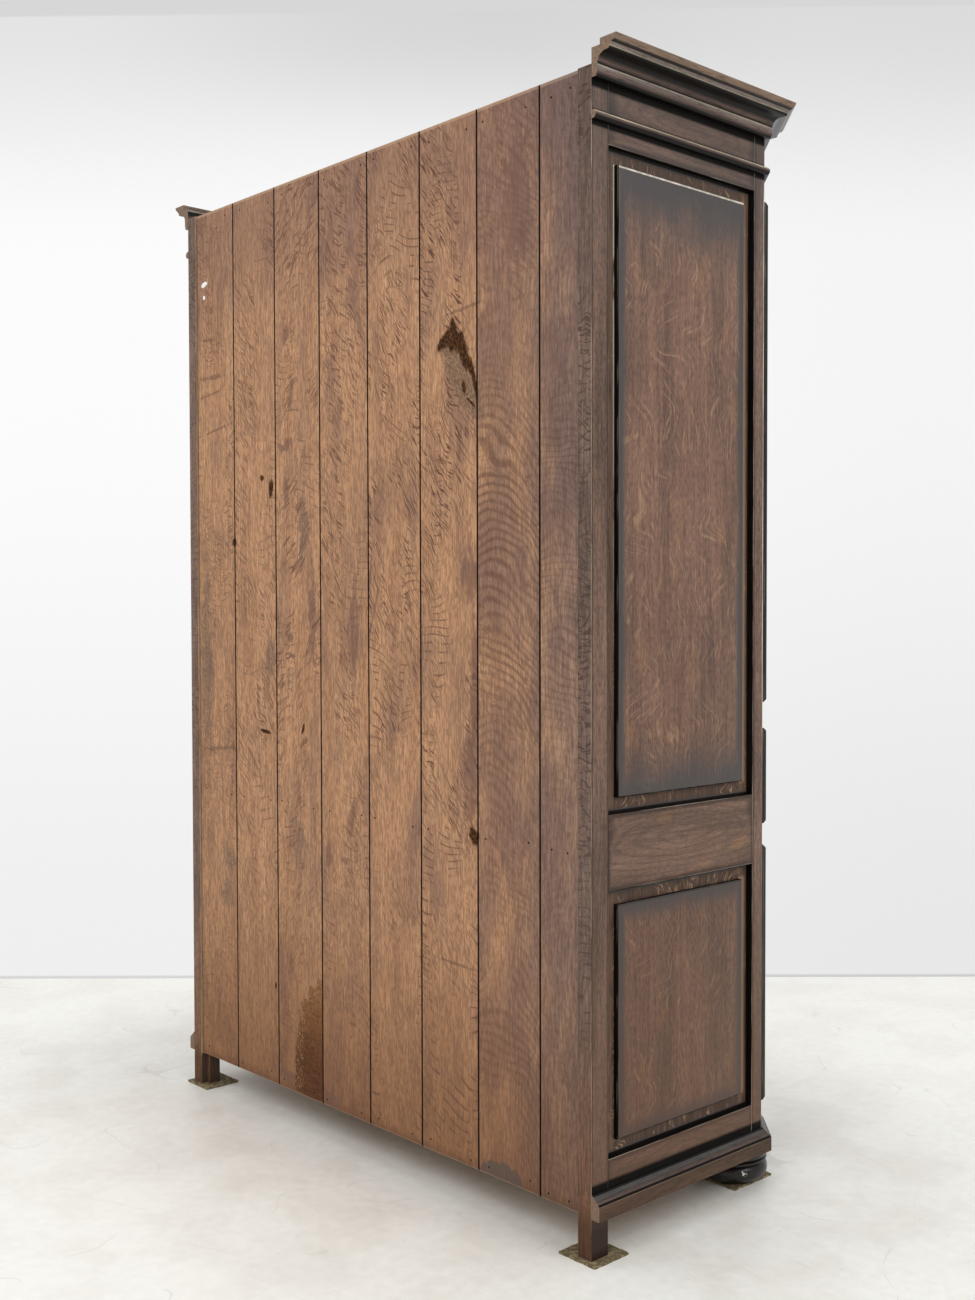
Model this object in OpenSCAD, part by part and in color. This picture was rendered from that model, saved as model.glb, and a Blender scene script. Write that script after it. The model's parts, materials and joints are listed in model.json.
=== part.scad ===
// Two-door oak wardrobe with canted front corners, bun feet in front and square legs behind.
// Millimetres. The front faces -Y, +X is to the right and the pads stand on Z = 0.

/* [Carcass] */
// Width of the carcass over its two sides
body_w = 1340; // [1200:10:1500]
// Depth of the carcass from the back of the posts to the front rails
body_d = 561; // [500:1:640]
// Height of the carcass above the ends of its legs
carcass_h = 2101; // [2060:1:2200]
// Depth and width of the slanted cut at each front corner
corner_cut = 68; // [60:1:80]

/* [Posts] */
// Width of a rear post across the back
rear_post_w = 45; // [40:1:60]
// Depth of a rear post along the side
rear_post_d = 44; // [40:1:60]
// Width of the rebate in a rear post that takes the back boards
rebate_w = 12; // [8:1:14]
// Width of a corner post on the side, up to the slanted face
corner_side_w = 32; // [30:1:45]
// Width of a corner post on the front, from the slanted face to the door
corner_front_w = 28; // [26:1:45]
// Thickness of a corner post behind its slanted face
corner_post_t = 36; // [30:1:37]
// Height at which the carcass starts, above the ends of the legs
carcass_z0 = 76; // [70:1:90]

/* [Frames and panels] */
// Thickness of the side rails
side_frame_t = 26; // [24:1:30]
// Thickness of the front rails and of the doors
door_t = 26; // [24:1:30]
// Height of a side's bottom rail
side_bottom_h = 96; // [80:1:110]
// Height at which the middle rails of sides and doors start
mid_rail_z0 = 654; // [560:1:760]
// Height of the middle rails
mid_rail_h = 137; // [110:1:160]
// Height of a side's top rail with its frieze
side_top_h = 130; // [120:1:150]
// Length of a tenon
tenon_l = 20; // [12:1:22]
// Thickness of a tenon
tenon_t = 10; // [6:1:12]
// Flat border between the frame and the raised field of a panel
margin_w = 28; // [20:1:40]
// Depth of that border behind the face of the frame
margin_drop = 12.5; // [11:0.5:14]
// Height of the raised field above the border
field_rise = 10; // [6:0.5:10.5]
// Slope along the edges of the raised field
field_bevel = 2; // [1:0.5:4]
// Thickness of a panel's edge
panel_edge_t = 7.5; // [6:0.5:8]
// Depth of the groove that takes a panel's edge
groove_l = 9; // [6:1:10]

/* [Back] */
// Thickness of the back boards
board_t = 12; // [9:1:14]
// Distance from the back of the posts to the boards
board_recess = 4; // [2:1:6]
// Width of the first back board, beside the left post
first_board_w = 99; // [80:1:140]
// Width of the last back board, beside the right post
last_board_w = 159; // [120:1:180]
// Width of the tongue between two boards
tongue_w = 5; // [4:1:7]
// Thickness of the back rails
back_rail_t = 25; // [20:1:27]
// Height of the middle and top back rails
back_rail_h = 70; // [50:1:100]

/* [Cornice, bead and plinth] */
// Height of the cornice's top above the top of the carcass
cornice_above = 38; // [35:1:55]
// Height of the cornice
cornice_h = 62; // [58:1:75]
// Projection of the cornice
cornice_out = 58; // [54:1:70]
// Radius of the hollow in the cornice
cove_r = 18; // [14:1:20]
// Distance from the top of the carcass down to the middle of the bead
bead_down = 86.5; // [71:0.5:90]
// Radius of the bead
bead_r = 8; // [6:0.5:9]
// Projection of the bead
bead_out = 10.5; // [9.5:0.5:14]
// Height of the plinth moulding
plinth_h = 44; // [34:1:45]
// Projection of the plinth moulding
plinth_out = 19.5; // [14:0.5:26]
// Slope along the top of the plinth moulding
plinth_slope = 14; // [8:1:16]

/* [Doors] */
// Width of a door's stiles
door_stile_w = 80; // [70:1:100]
// Height of a door's top and bottom rails
door_rail_h = 80; // [70:1:100]
// Gap around a door
door_gap = 2; // [1.8:0.1:3]
// Height at which the doors start
door_z0 = 124; // [123:1:150]
// Height of the rail above the doors
front_top_h = 96; // [95:1:140]
// Width of the fixed stile between the doors
centre_stile_w = 80; // [70:1:100]
// Depth of the fixed stile between the doors
centre_stile_d = 46; // [46:1:60]

/* [Raised blocks] */
// Lower end of the low blocks
low_block_z0 = 169; // [150:1:200]
// Upper end of the low blocks
low_block_z1 = 684; // [640:1:710]
// Lower end of the middle blocks
mid_block_z0 = 728; // [715:1:760]
// Upper end of the middle blocks
mid_block_z1 = 919; // [880:1:950]
// Lower end of the top blocks
top_block_z0 = 971; // [955:1:1000]
// Distance from the top of the carcass down to the top blocks
top_block_down = 141; // [111:1:201]
// Width of the blocks on the slanted corners
corner_block_w = 62; // [50:1:70]
// Width of the blocks on the centre stile
centre_block_w = 50; // [40:1:60]
// Height of a block above its ground
block_rise = 11; // [8:1:14]
// Slope along the edges of a block
block_bevel = 6; // [3:1:7]

/* [Hinges and locks] */
// Radius of a hinge barrel
barrel_r = 6; // [5:0.5:8]
// Length of each half of a hinge barrel
barrel_l = 40; // [30:1:60]
// Radius of a hinge pin
pin_r = 3; // [2:0.5:3.5]
// Thickness of a hinge leaf
leaf_t = 1.5; // [1:0.1:2]
// Depth of a hinge leaf behind the barrel
leaf_d = 26; // [18:1:30]
// Height of the keyholes
key_z = 722; // [700:1:745]
// Distance from a door's edge to its keyhole
key_inset = 30; // [28:1:36]
// Length of a lock case
lock_w = 60; // [56:1:70]
// Height of a lock case
lock_h = 90; // [80:1:110]
// Depth of a lock case
lock_d = 14; // [14:1:18]
// Travel of a lock bolt
bolt_throw = 14; // [12:1:16]
// Height of a lock bolt
bolt_h = 12; // [8:1:14]
// Radius of a key's stem
key_r = 3; // [2.5:0.1:3.5]
// Length of a key's bit below its stem
bit_l = 10; // [7:1:11]

/* [Inside] */
// Thickness of the floor
floor_t = 18; // [15:1:22]
// Thickness of the roof
roof_t = 14; // [10:1:18]
// Thickness of the hat shelf
shelf_t = 18; // [15:1:25]
// Clear height between the hat shelf and the roof
hat_space_h = 313; // [270:1:370]
// Thickness of the cleats under the hat shelf
cleat_t = 20; // [16:1:24]
// Height of the cleats under the hat shelf
cleat_h = 96; // [88:1:120]
// Radius of the hanging rod
rod_r = 14; // [10:1:16]
// Distance from the hat shelf down to the middle of the hanging rod
rod_drop = 56; // [48:1:60]

/* [Feet] */
// Distance from the side to the middle of a bun foot
foot_u = 88; // [84:1:100]
// Distance from the front to the middle of a bun foot
foot_front = 55; // [50:1:70]
// Radius of a bun foot at its widest
foot_r = 77; // [65:1:80]
// Radius of the dowel on a bun foot
dowel_r = 11; // [8:1:12]
// Side of a rear pad
rear_pad_w = 90; // [80:1:110]
// Distance from the side to the middle of a rear pad
rear_pad_u = 27; // [22:1:40]
// Distance from the back to the middle of a rear pad
rear_pad_v = 35; // [22:1:40]
// Side of a front pad
front_pad_w = 120; // [110:1:140]
// Thickness of the pads
pad_t = 5; // [3:1:8]

/* [Hidden] */

$fn = 48;
left = -1;
right = 1;

// Clearance between wooden pieces that slide into each other
fit = 0.2;
// Running clearance of a pin or shaft in its hole
run_fit = 0.06;
// Overshoot of a cutting shape past the face that it opens
over = 1;

dark_oak = [0.27, 0.19, 0.15];
dark_field = [0.36, 0.25, 0.2];
black_oak = [0.12, 0.1, 0.09];
bare_oak = [0.62, 0.46, 0.36];
stained_bare_oak = [0.5, 0.39, 0.33];
inner_oak = [0.66, 0.5, 0.36];
steel = [0.45, 0.44, 0.42];
brass = [0.62, 0.48, 0.24];
felt = [0.36, 0.33, 0.23];

// Plan: u runs inwards from a side and v runs forwards from the back of the posts
side_d = body_d - corner_cut;
post_v0 = side_d - corner_side_w;
post_u1 = corner_cut + corner_front_w;
front_v = body_d - door_t;
slant_w = corner_cut * sqrt(2);
slant_reach = corner_post_t * sqrt(2);
rebate_d = board_recess + board_t;
rebate_u = rear_post_w - rebate_w;
inner_v0 = rebate_d + fit;
back_y = (body_d + cornice_out - (rear_pad_w / 2 - rear_pad_v)) / 2;

// Doors
door_u0 = post_u1 + door_gap;
door_w = (body_w - centre_stile_w) / 2 - door_gap - door_u0;
top_rail_z = carcass_h - front_top_h;
door_z1 = top_rail_z - door_gap;
door_h = door_z1 - door_z0;
hinge_u = door_u0 - door_gap / 2;
hinge_end = 150;
pin_cover = 6;
hinges_z = [door_z0 + hinge_end, (door_z0 + door_z1) / 2, door_z1 - hinge_end];
pin_l = barrel_l - pin_cover;
barrel_gap = 0.3;
tip_r = barrel_r - 1.5;

// Lower edge and width of each rail in a side and in a door
side_rails_at = [[carcass_z0, side_bottom_h], [mid_rail_z0, mid_rail_h],
    [carcass_h - side_top_h, side_top_h]];
door_rails_at = [[door_z0, door_rail_h], [mid_rail_z0, mid_rail_h],
    [door_z1 - door_rail_h, door_rail_h]];
side_rail_l = post_v0 - rear_post_d;
door_rail_l = door_w - 2 * door_stile_w;

// Floor, roof and the rails that carry them
deck_lap = 8;
floor_z1 = door_z0 - door_gap;
floor_z0 = floor_z1 - floor_t;
roof_z0 = carcass_h - roof_t;
front_rail_l = body_w - 2 * post_u1;
front_rails_at = [[carcass_z0, floor_z1 - carcass_z0], [top_rail_z, carcass_h - top_rail_z]];
back_rails_at = [[carcass_z0, floor_z0 - carcass_z0],
    [mid_rail_z0 + (mid_rail_h - back_rail_h) / 2, back_rail_h],
    [roof_z0 - back_rail_h, back_rail_h]];

// Back boards
boards = 8;
inner_boards_w = body_w - 2 * (rebate_u + fit) - first_board_w - last_board_w;

// Locks
lock_wall = 2;
lock_setback = 3;
lock_edge = key_inset - lock_setback;
lock_play = 1;
lock_end_room = 12;
bit_room = 3;
key_u = door_u0 + door_w - key_inset;
bolt_l = lock_w - lock_end_room;
bolt_t = lock_d - 2 * lock_wall - 2 * lock_play;
bolt_drop = key_r + bit_l + bit_room;
bolt_tip = lock_edge - fit;
lock_pin_r = key_r / 2;
lock_pin_l = 6;
bit_t = 2.6;
bit_d = 7;
plate_t = 2;
keyhole_gap = 0.5;

// Lower and upper end of each raised block
top_block_z1 = carcass_h - top_block_down;
blocks_at = [[low_block_z0, low_block_z1], [mid_block_z0, mid_block_z1], [top_block_z0, top_block_z1]];

// Hat shelf and hanging rod
shelf_z0 = roof_z0 - hat_space_h - shelf_t;
cleat_gap = 1;
cleat_u0 = margin_drop + panel_edge_t + cleat_gap;
cleat_u1 = cleat_u0 + cleat_t;
rod_v = (rear_post_d + post_v0) / 2;
rod_z = shelf_z0 - rod_drop;
socket_wall = 5;
socket_l = 16;
socket_flange = 5;

// Bun feet
foot_v = body_d - foot_front;
foot_h = carcass_z0;
dowel_cover = 3;
dowel_l = floor_z0 - carcass_z0 - dowel_cover;
foot_block_w = 76;

// Half of the turn of a moulding at each end of a slanted corner, and half of the joint there
mitre = 22.5;
mitre_gap = 0.1;
cornice_z0 = carcass_h + cornice_above - cornice_h;
bead_z0 = carcass_h - bead_down - bead_r;

// Places

module on_side(side) {
    mirror([side == right ? 1 : 0, 0, 0])
        translate([-body_w / 2, back_y, pad_t])
            mirror([0, 1, 0]) children();
}

module side_face() {
    rotate([0, 0, 90]) children();
}

module slanted_face() {
    translate([0, side_d, 0]) rotate([0, 0, 45]) children();
}

module front_face(u, z) {
    translate([u, body_d, z]) children();
}

// Plan outlines

module carcass_plan() {
    polygon([[0, 0], [0, side_d], [corner_cut, body_d], [body_w - corner_cut, body_d],
        [body_w, side_d], [body_w, 0]]);
}

// Room inside the flanges and the slanted inner face of a corner post
module inside_corner(gap) {
    slant_v = side_d - slant_reach - gap * sqrt(2);
    intersection() {
        translate([side_frame_t + gap, 0]) square([body_w, front_v - gap]);
        polygon([[0, slant_v], [body_w, slant_v + body_w], [body_w, -body_w], [0, -body_w]]);
    }
}

module corner_zone(gap) {
    difference() {
        translate([-over, post_v0 - gap]) square([post_u1 + over + gap, body_d]);
        inside_corner(gap);
    }
}

module deck_notches() {
    translate([-over, 0]) square([rear_post_w + over + fit, rear_post_d + fit]);
    corner_zone(fit);
}

module deck(z, t, gap) {
    edge = side_frame_t - deck_lap - gap;
    translate([0, 0, z - gap]) linear_extrude(t + 2 * gap) difference() {
        translate([edge, inner_v0]) square([body_w - 2 * edge, front_v + deck_lap + gap - inner_v0]);
        deck_notches();
        translate([body_w, 0]) mirror([1, 0]) deck_notches();
    }
}

// Joinery shared by the sides and the doors

module tenons(l, h, t, gap) {
    translate([-tenon_l - gap, -(t + tenon_t) / 2 - gap, h / 8 - gap])
        cube([l + 2 * (tenon_l + gap), tenon_t + 2 * gap, h * 3 / 4 + 2 * gap]);
}

module rail(l, h, t) {
    translate([0, -t, 0]) cube([l, t, h]);
    tenons(l, h, t, 0);
}

module bevelled_block(w, t, h, bevel) {
    intersection() {
        linear_extrude(h)
            polygon([[0, 0], [w, 0], [w, t - bevel], [w - bevel, t], [bevel, t], [0, t - bevel]]);
        rotate([90, 0, 90]) linear_extrude(w)
            polygon([[0, 0], [t - bevel, 0], [t, bevel], [t, h - bevel], [t - bevel, h], [0, h]]);
    }
}

module raised_panel(w, h) {
    edge = groove_l - fit;
    translate([-edge, -margin_drop - panel_edge_t, -edge])
        cube([w + 2 * edge, panel_edge_t, h + 2 * edge]);
    translate([margin_w, -margin_drop, margin_w])
        bevelled_block(w - 2 * margin_w, field_rise, h - 2 * margin_w, field_bevel);
}

module panel_groove(w, h) {
    translate([-groove_l, -margin_drop - panel_edge_t - fit, -groove_l])
        cube([w + 2 * groove_l, panel_edge_t + 2 * fit, h + 2 * groove_l]);
}

// Opening between rail i and the next one
function opening_z(rails, i) = rails[i][0] + rails[i][1];
function opening_h(rails, i) = rails[i + 1][0] - opening_z(rails, i);

// Carcass

module side_rail_sockets() {
    for (r = side_rails_at) side_face() translate([rear_post_d, 0, r[0]])
        tenons(side_rail_l, r[1], side_frame_t, fit);
}

module side_panel_grooves() {
    for (i = [0, 1]) side_face() translate([rear_post_d, 0, opening_z(side_rails_at, i)])
        panel_groove(side_rail_l, opening_h(side_rails_at, i));
}

module back_rail_sockets() {
    for (r = back_rails_at) translate([rear_post_w, inner_v0 + back_rail_t, r[0]])
        tenons(body_w - 2 * rear_post_w, r[1], back_rail_t, fit);
}

module rear_post(side) {
    color(dark_oak) on_side(side) difference() {
        cube([rear_post_w, rear_post_d, carcass_h]);
        translate([rebate_u, -over, -over])
            cube([rebate_w + over, rebate_d + over, carcass_h + 2 * over]);
        side_rail_sockets();
        side_panel_grooves();
        back_rail_sockets();
    }
}

module corner_post(side) {
    color(dark_oak) on_side(side) difference() {
        translate([0, 0, carcass_z0]) linear_extrude(carcass_h - carcass_z0) intersection() {
            corner_zone(0);
            carcass_plan();
        }
        side_rail_sockets();
        side_panel_grooves();
        for (r = front_rails_at) front_face(post_u1, r[0]) tenons(front_rail_l, r[1], door_t, fit);
        hinge_leaf_recesses(left);
    }
}

module side_rails(side) {
    color(dark_oak) on_side(side) difference() {
        for (r = side_rails_at) side_face() translate([rear_post_d, 0, r[0]])
            rail(side_rail_l, r[1], side_frame_t);
        side_panel_grooves();
        deck(floor_z0, floor_t, fit);
        deck(roof_z0, roof_t, fit);
    }
}

module side_panel(side, i) {
    color(dark_field) on_side(side) side_face()
        translate([rear_post_d, 0, opening_z(side_rails_at, i)])
            raised_panel(side_rail_l, opening_h(side_rails_at, i));
}

module back_rails() {
    color(inner_oak) on_side(left)
        for (r = back_rails_at) translate([rear_post_w, inner_v0 + back_rail_t, r[0]])
            rail(body_w - 2 * rear_post_w, r[1], back_rail_t);
}

module floor_board() {
    color(inner_oak) on_side(left) deck(floor_z0, floor_t, 0);
}

module roof_board() {
    color(inner_oak) on_side(left) deck(roof_z0, roof_t, 0);
}

module front_rail(r) {
    color(dark_oak) on_side(left) difference() {
        front_face(post_u1, r[0]) rail(front_rail_l, r[1], door_t);
        deck(floor_z0, floor_t, fit);
        deck(roof_z0, roof_t, fit);
        stile_tenon(fit);
    }
}

// One tongue that runs through the stile and into both front rails
module stile_tenon(gap) {
    side_shoulder = 15;
    front_face(body_w / 2, floor_z1 - tenon_l - gap)
        translate([-centre_stile_w / 2 + side_shoulder - gap, -(door_t - deck_lap + tenon_t) / 2 - gap, 0])
            cube([centre_stile_w - 2 * (side_shoulder - gap), tenon_t + 2 * gap,
                top_rail_z - floor_z1 + 2 * (tenon_l + gap)]);
}

module centre_stile() {
    color(dark_oak) difference() {
        on_side(left) {
            front_face((body_w - centre_stile_w) / 2, floor_z1) translate([0, -centre_stile_d, 0])
                cube([centre_stile_w, centre_stile_d, top_rail_z - floor_z1]);
            stile_tenon(0);
        }
        on_side(left) keep_pocket();
        on_side(right) keep_pocket();
    }
}

// Back boards, joined by a tongue on one and a groove in the next

function board_joint(i) = i == 0 ? rebate_u + fit
    : i == boards ? body_w - rebate_u - fit
    : rebate_u + fit + first_board_w + (i - 1) * inner_boards_w / (boards - 2);

module back_board(i) {
    x0 = board_joint(i - 1) + fit;
    x1 = board_joint(i) - fit;
    tongue_t = board_t / 3;
    color(i == 2 ? stained_bare_oak : bare_oak) on_side(left)
        translate([0, board_recess, carcass_z0]) difference() {
            union() {
                translate([x0, 0, 0]) cube([x1 - x0, board_t, carcass_h - carcass_z0]);
                if (i < boards) translate([x1 - over, tongue_t, 0])
                    cube([tongue_w + over, tongue_t, carcass_h - carcass_z0]);
            }
            if (i > 1) translate([x0 - over, tongue_t - fit, -over])
                cube([tongue_w + over + fit, tongue_t + 2 * fit, carcass_h - carcass_z0 + 2 * over]);
        }
}

// Mouldings: a profile that starts at the carcass face, run along one face and mitred at its ends

module moulding_run(l, out, z, h, start_turn, end_turn) {
    reach = out + over;
    x0 = mitre_gap;
    x1 = l - mitre_gap;
    intersection() {
        translate([-reach, 0, z]) rotate([90, 0, 90]) linear_extrude(l + 2 * reach) children();
        translate([0, 0, z - over]) linear_extrude(h + 2 * over)
            polygon([[x0, 0], [x0 - reach * tan(start_turn), reach],
                [x1 + reach * tan(end_turn), reach], [x1, 0]]);
    }
}

module side_run(out, z, h) {
    side_face() moulding_run(side_d, out, z, h, 0, mitre) children();
}

module slanted_run(out, z, h) {
    slanted_face() moulding_run(slant_w, out, z, h, mitre, mitre) children();
}

module front_run(out, z, h) {
    front_face(corner_cut, 0)
        moulding_run(body_w - 2 * corner_cut, out, z, h, mitre, mitre) children();
}

module front_runs(out, z, h) {
    on_side(left) slanted_run(out, z, h) children();
    on_side(left) front_run(out, z, h) children();
    on_side(right) slanted_run(out, z, h) children();
}

module cornice_profile() {
    foot_out = 14;
    foot_slope_out = 3;
    foot_slope_h = 8;
    cove_out = foot_out + cove_r;
    crown_h = 23.5;
    cove_z1 = cornice_h - crown_h;
    cove_z0 = cove_z1 - cove_r;
    // Steps of the crown, in from its edge and down from its top
    crown = [[17, 22.5], [15, 17.5], [11, 12.5], [6, 10], [2, 5], [0, 0]];
    hollow_in = 20;
    hollow_h = 11;
    difference() {
        polygon(concat([[0, 0], [foot_out - foot_slope_out, 0], [foot_out, foot_slope_h],
            [foot_out, cove_z0], [cove_out, cove_z0], [cove_out, cove_z1]],
            [for (p = crown) [cornice_out - p[0], cornice_h - p[1]]],
            [[hollow_in, cornice_h], [hollow_in, cornice_h - hollow_h], [0, cornice_h - hollow_h]]));
        translate([cove_out, cove_z0]) circle(cove_r);
    }
}

module bead_profile() {
    difference() {
        union() {
            translate([bead_out - bead_r, bead_r]) circle(bead_r);
            square([bead_out - bead_r, 2 * bead_r]);
        }
        translate([-bead_r, -over]) square([bead_r, 2 * (bead_r + over)]);
    }
}

module plinth_profile() {
    quirk = 2;
    face_h = plinth_h - plinth_slope;
    polygon([[0, 0], [plinth_out, 0], [plinth_out, face_h - quirk], [plinth_out - quirk, face_h - quirk],
        [plinth_out - quirk, face_h], [quirk, plinth_h], [0, plinth_h]]);
}

module side_cornice(side) {
    color(dark_oak) on_side(side) side_run(cornice_out, cornice_z0, cornice_h) cornice_profile();
}

module front_cornice() {
    color(dark_oak) front_runs(cornice_out, cornice_z0, cornice_h) cornice_profile();
}

module bead_moulding() {
    color(dark_oak) {
        for (side = [left, right]) on_side(side) side_run(bead_out, bead_z0, 2 * bead_r) bead_profile();
        front_runs(bead_out, bead_z0, 2 * bead_r) bead_profile();
    }
}

module side_plinth(side) {
    color(dark_oak) on_side(side) side_run(plinth_out, carcass_z0, plinth_h) plinth_profile();
}

module front_plinth() {
    color(dark_oak) front_runs(plinth_out, carcass_z0, plinth_h) plinth_profile();
}

module corner_blocks() {
    color(black_oak) for (side = [left, right], b = blocks_at) on_side(side) slanted_face()
        translate([(slant_w - corner_block_w) / 2, 0, b[0]])
            bevelled_block(corner_block_w, block_rise, b[1] - b[0], block_bevel);
}

module centre_blocks() {
    color(black_oak) for (b = blocks_at) on_side(left)
        front_face((body_w - centre_block_w) / 2, b[0])
            bevelled_block(centre_block_w, block_rise, b[1] - b[0], block_bevel);
}

// Doors

module door_panel_grooves() {
    for (i = [0, 1]) front_face(door_u0 + door_stile_w, opening_z(door_rails_at, i))
        panel_groove(door_rail_l, opening_h(door_rails_at, i));
}

module door_stiles(side) {
    color(dark_oak) on_side(side) difference() {
        for (u = [door_u0, door_u0 + door_w - door_stile_w]) front_face(u, door_z0)
            translate([0, -door_t, 0]) cube([door_stile_w, door_t, door_h]);
        for (r = door_rails_at) front_face(door_u0 + door_stile_w, r[0])
            tenons(door_rail_l, r[1], door_t, fit);
        door_panel_grooves();
        hinge_leaf_recesses(right);
        keyhole(-door_t, door_t);
    }
}

module door_rails(side) {
    color(dark_oak) on_side(side) difference() {
        for (r = door_rails_at) front_face(door_u0 + door_stile_w, r[0])
            rail(door_rail_l, r[1], door_t);
        door_panel_grooves();
    }
}

module door_panel(side, i) {
    color(dark_field) on_side(side)
        front_face(door_u0 + door_stile_w, opening_z(door_rails_at, i))
            raised_panel(door_rail_l, opening_h(door_rails_at, i));
}

// Hinges: the lower half is let into the post and carries the pin, the upper half lifts off it

module hinge_places() {
    for (z = hinges_z) front_face(hinge_u, z) translate([0, barrel_r, 0]) children();
}

module hinge_leaf(way, gap) {
    z0 = way == right ? barrel_gap : -barrel_l;
    z1 = way == right ? barrel_l : 0;
    x0 = way == right ? door_gap / 2 : -door_gap / 2 - leaf_t - gap;
    translate([x0, -barrel_r - leaf_d - gap, z0 - gap])
        cube([leaf_t + gap, leaf_d + barrel_r - pin_r - run_fit + gap, z1 - z0 + 2 * gap]);
}

module hinge_leaf_recesses(way) {
    hinge_places() hinge_leaf(way, fit);
}

module post_hinge_halves() {
    color(steel) for (side = [left, right]) on_side(side) hinge_places() {
        translate([0, 0, -barrel_l]) cylinder(r = barrel_r, h = barrel_l);
        translate([0, 0, -over]) cylinder(r = pin_r, h = pin_l + over);
        translate([0, 0, -barrel_l]) sphere(tip_r);
        hinge_leaf(left, 0);
    }
}

module door_hinge_halves(side) {
    color(steel) on_side(side) hinge_places() difference() {
        union() {
            translate([0, 0, barrel_gap]) cylinder(r = barrel_r, h = barrel_l - barrel_gap);
            translate([0, 0, barrel_l]) sphere(tip_r);
            hinge_leaf(right, 0);
        }
        cylinder(r = pin_r + run_fit, h = pin_l + over);
    }
}

// Locks: a case behind the door, a bolt that the key throws into the centre stile, a key and its plate

module lock_place() {
    front_face(key_u, key_z) translate([0, -door_t, 0]) children();
}

// Points a shape that stands on the plan out of the door, with its own Y downwards
module out_of_door() {
    rotate([-90, 0, 0]) children();
}

module keyhole(y, l) {
    slot_w = bit_t + 2 * keyhole_gap;
    front_face(key_u, key_z) translate([0, y - over, 0]) out_of_door() {
        cylinder(r = key_r + keyhole_gap, h = l + 2 * over);
        translate([-slot_w / 2, 0, 0])
            cube([slot_w, key_r + bit_l + 2 * keyhole_gap, l + 2 * over]);
    }
}

module bolt_shape(reach, gap) {
    lock_place() translate([bolt_tip - bolt_l, -lock_wall - lock_play - bolt_t - gap, bolt_drop - gap])
        cube([bolt_l + reach, bolt_t + 2 * gap, bolt_h + 2 * gap]);
}

module keep_pocket() {
    bolt_shape(bolt_throw + 1, 1);
}

module lock_case(side) {
    color(steel) on_side(side) {
        difference() {
            lock_place() translate([lock_edge - lock_w, -lock_d, -lock_h / 2]) difference() {
                cube([lock_w, lock_d, lock_h]);
                translate([lock_wall, lock_wall, lock_wall])
                    cube([lock_w - 2 * lock_wall, lock_d - 2 * lock_wall, lock_h - 2 * lock_wall]);
            }
            bolt_shape(bolt_throw, fit);
            keyhole(-door_t - lock_wall, lock_wall);
        }
        lock_place() translate([0, -lock_d + lock_wall / 2, 0]) out_of_door()
            cylinder(r = lock_pin_r, h = lock_wall / 2 + lock_pin_l);
    }
}

module lock_bolt(side) {
    color(steel) on_side(side) bolt_shape(0, 0);
}

module key(side) {
    bow_r = 11;
    bow_t = 2.2;
    stem_z0 = -door_t - lock_d + lock_wall + run_fit;
    stem_z1 = 31;
    color(steel) on_side(side) front_face(key_u, key_z) out_of_door() difference() {
        union() {
            translate([0, 0, stem_z0]) cylinder(r = key_r, h = stem_z1 - stem_z0);
            translate([0, 0, plate_t + barrel_gap]) cylinder(r = key_r + 2, h = 3);
            translate([-bit_t / 2, 0, stem_z0 + 1]) cube([bit_t, key_r + bit_l, bit_d]);
            translate([0, 0, stem_z1 + bow_r]) rotate([0, 90, 0])
                rotate_extrude() translate([bow_r, 0]) circle(bow_t);
        }
        translate([0, 0, stem_z0 - over]) cylinder(r = lock_pin_r + run_fit, h = lock_pin_l + 2 * over);
    }
}

module escutcheon(side) {
    plate_w = 32;
    plate_r = 40;
    color(brass) on_side(side) difference() {
        front_face(key_u, key_z) out_of_door() linear_extrude(plate_t) intersection() {
            translate([plate_w / 2 - plate_r, 0]) circle(plate_r);
            translate([plate_r - plate_w / 2, 0]) circle(plate_r);
        }
        keyhole(0, plate_t);
    }
}

// Inside

module hat_shelf() {
    color(inner_oak) on_side(left) translate([cleat_u0, rear_post_d + fit, shelf_z0])
        cube([body_w - 2 * cleat_u0, side_rail_l - 2 * fit, shelf_t]);
}

module shelf_cleats() {
    color(inner_oak) for (side = [left, right]) on_side(side)
        translate([cleat_u0, rear_post_d, shelf_z0 - cleat_h]) cube([cleat_t, side_rail_l, cleat_h]);
}

module hanging_rod() {
    color(inner_oak) on_side(left) translate([cleat_u1 + fit, rod_v, rod_z]) rotate([0, 90, 0])
        cylinder(r = rod_r, h = body_w - 2 * (cleat_u1 + fit));
}

module rod_sockets() {
    color(brass) for (side = [left, right]) on_side(side)
        translate([cleat_u1, rod_v, rod_z]) rotate([0, 90, 0]) difference() {
            union() {
                cylinder(r = rod_r + 2 * socket_wall, h = socket_flange);
                cylinder(r = rod_r + socket_wall, h = socket_l);
            }
            translate([0, 0, -over]) cylinder(r = rod_r + run_fit, h = socket_l + 2 * over);
        }
}

// Feet

module foot_blocks() {
    color(inner_oak) for (side = [left, right]) on_side(side) difference() {
        translate([0, 0, carcass_z0]) linear_extrude(floor_z0 - carcass_z0) intersection() {
            inside_corner(fit);
            translate([0, foot_v - foot_block_w / 2]) square([foot_u + foot_block_w / 2, body_d]);
        }
        translate([foot_u, foot_v, carcass_z0 - over])
            cylinder(r = dowel_r + run_fit, h = dowel_l + fit + over);
    }
}

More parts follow.
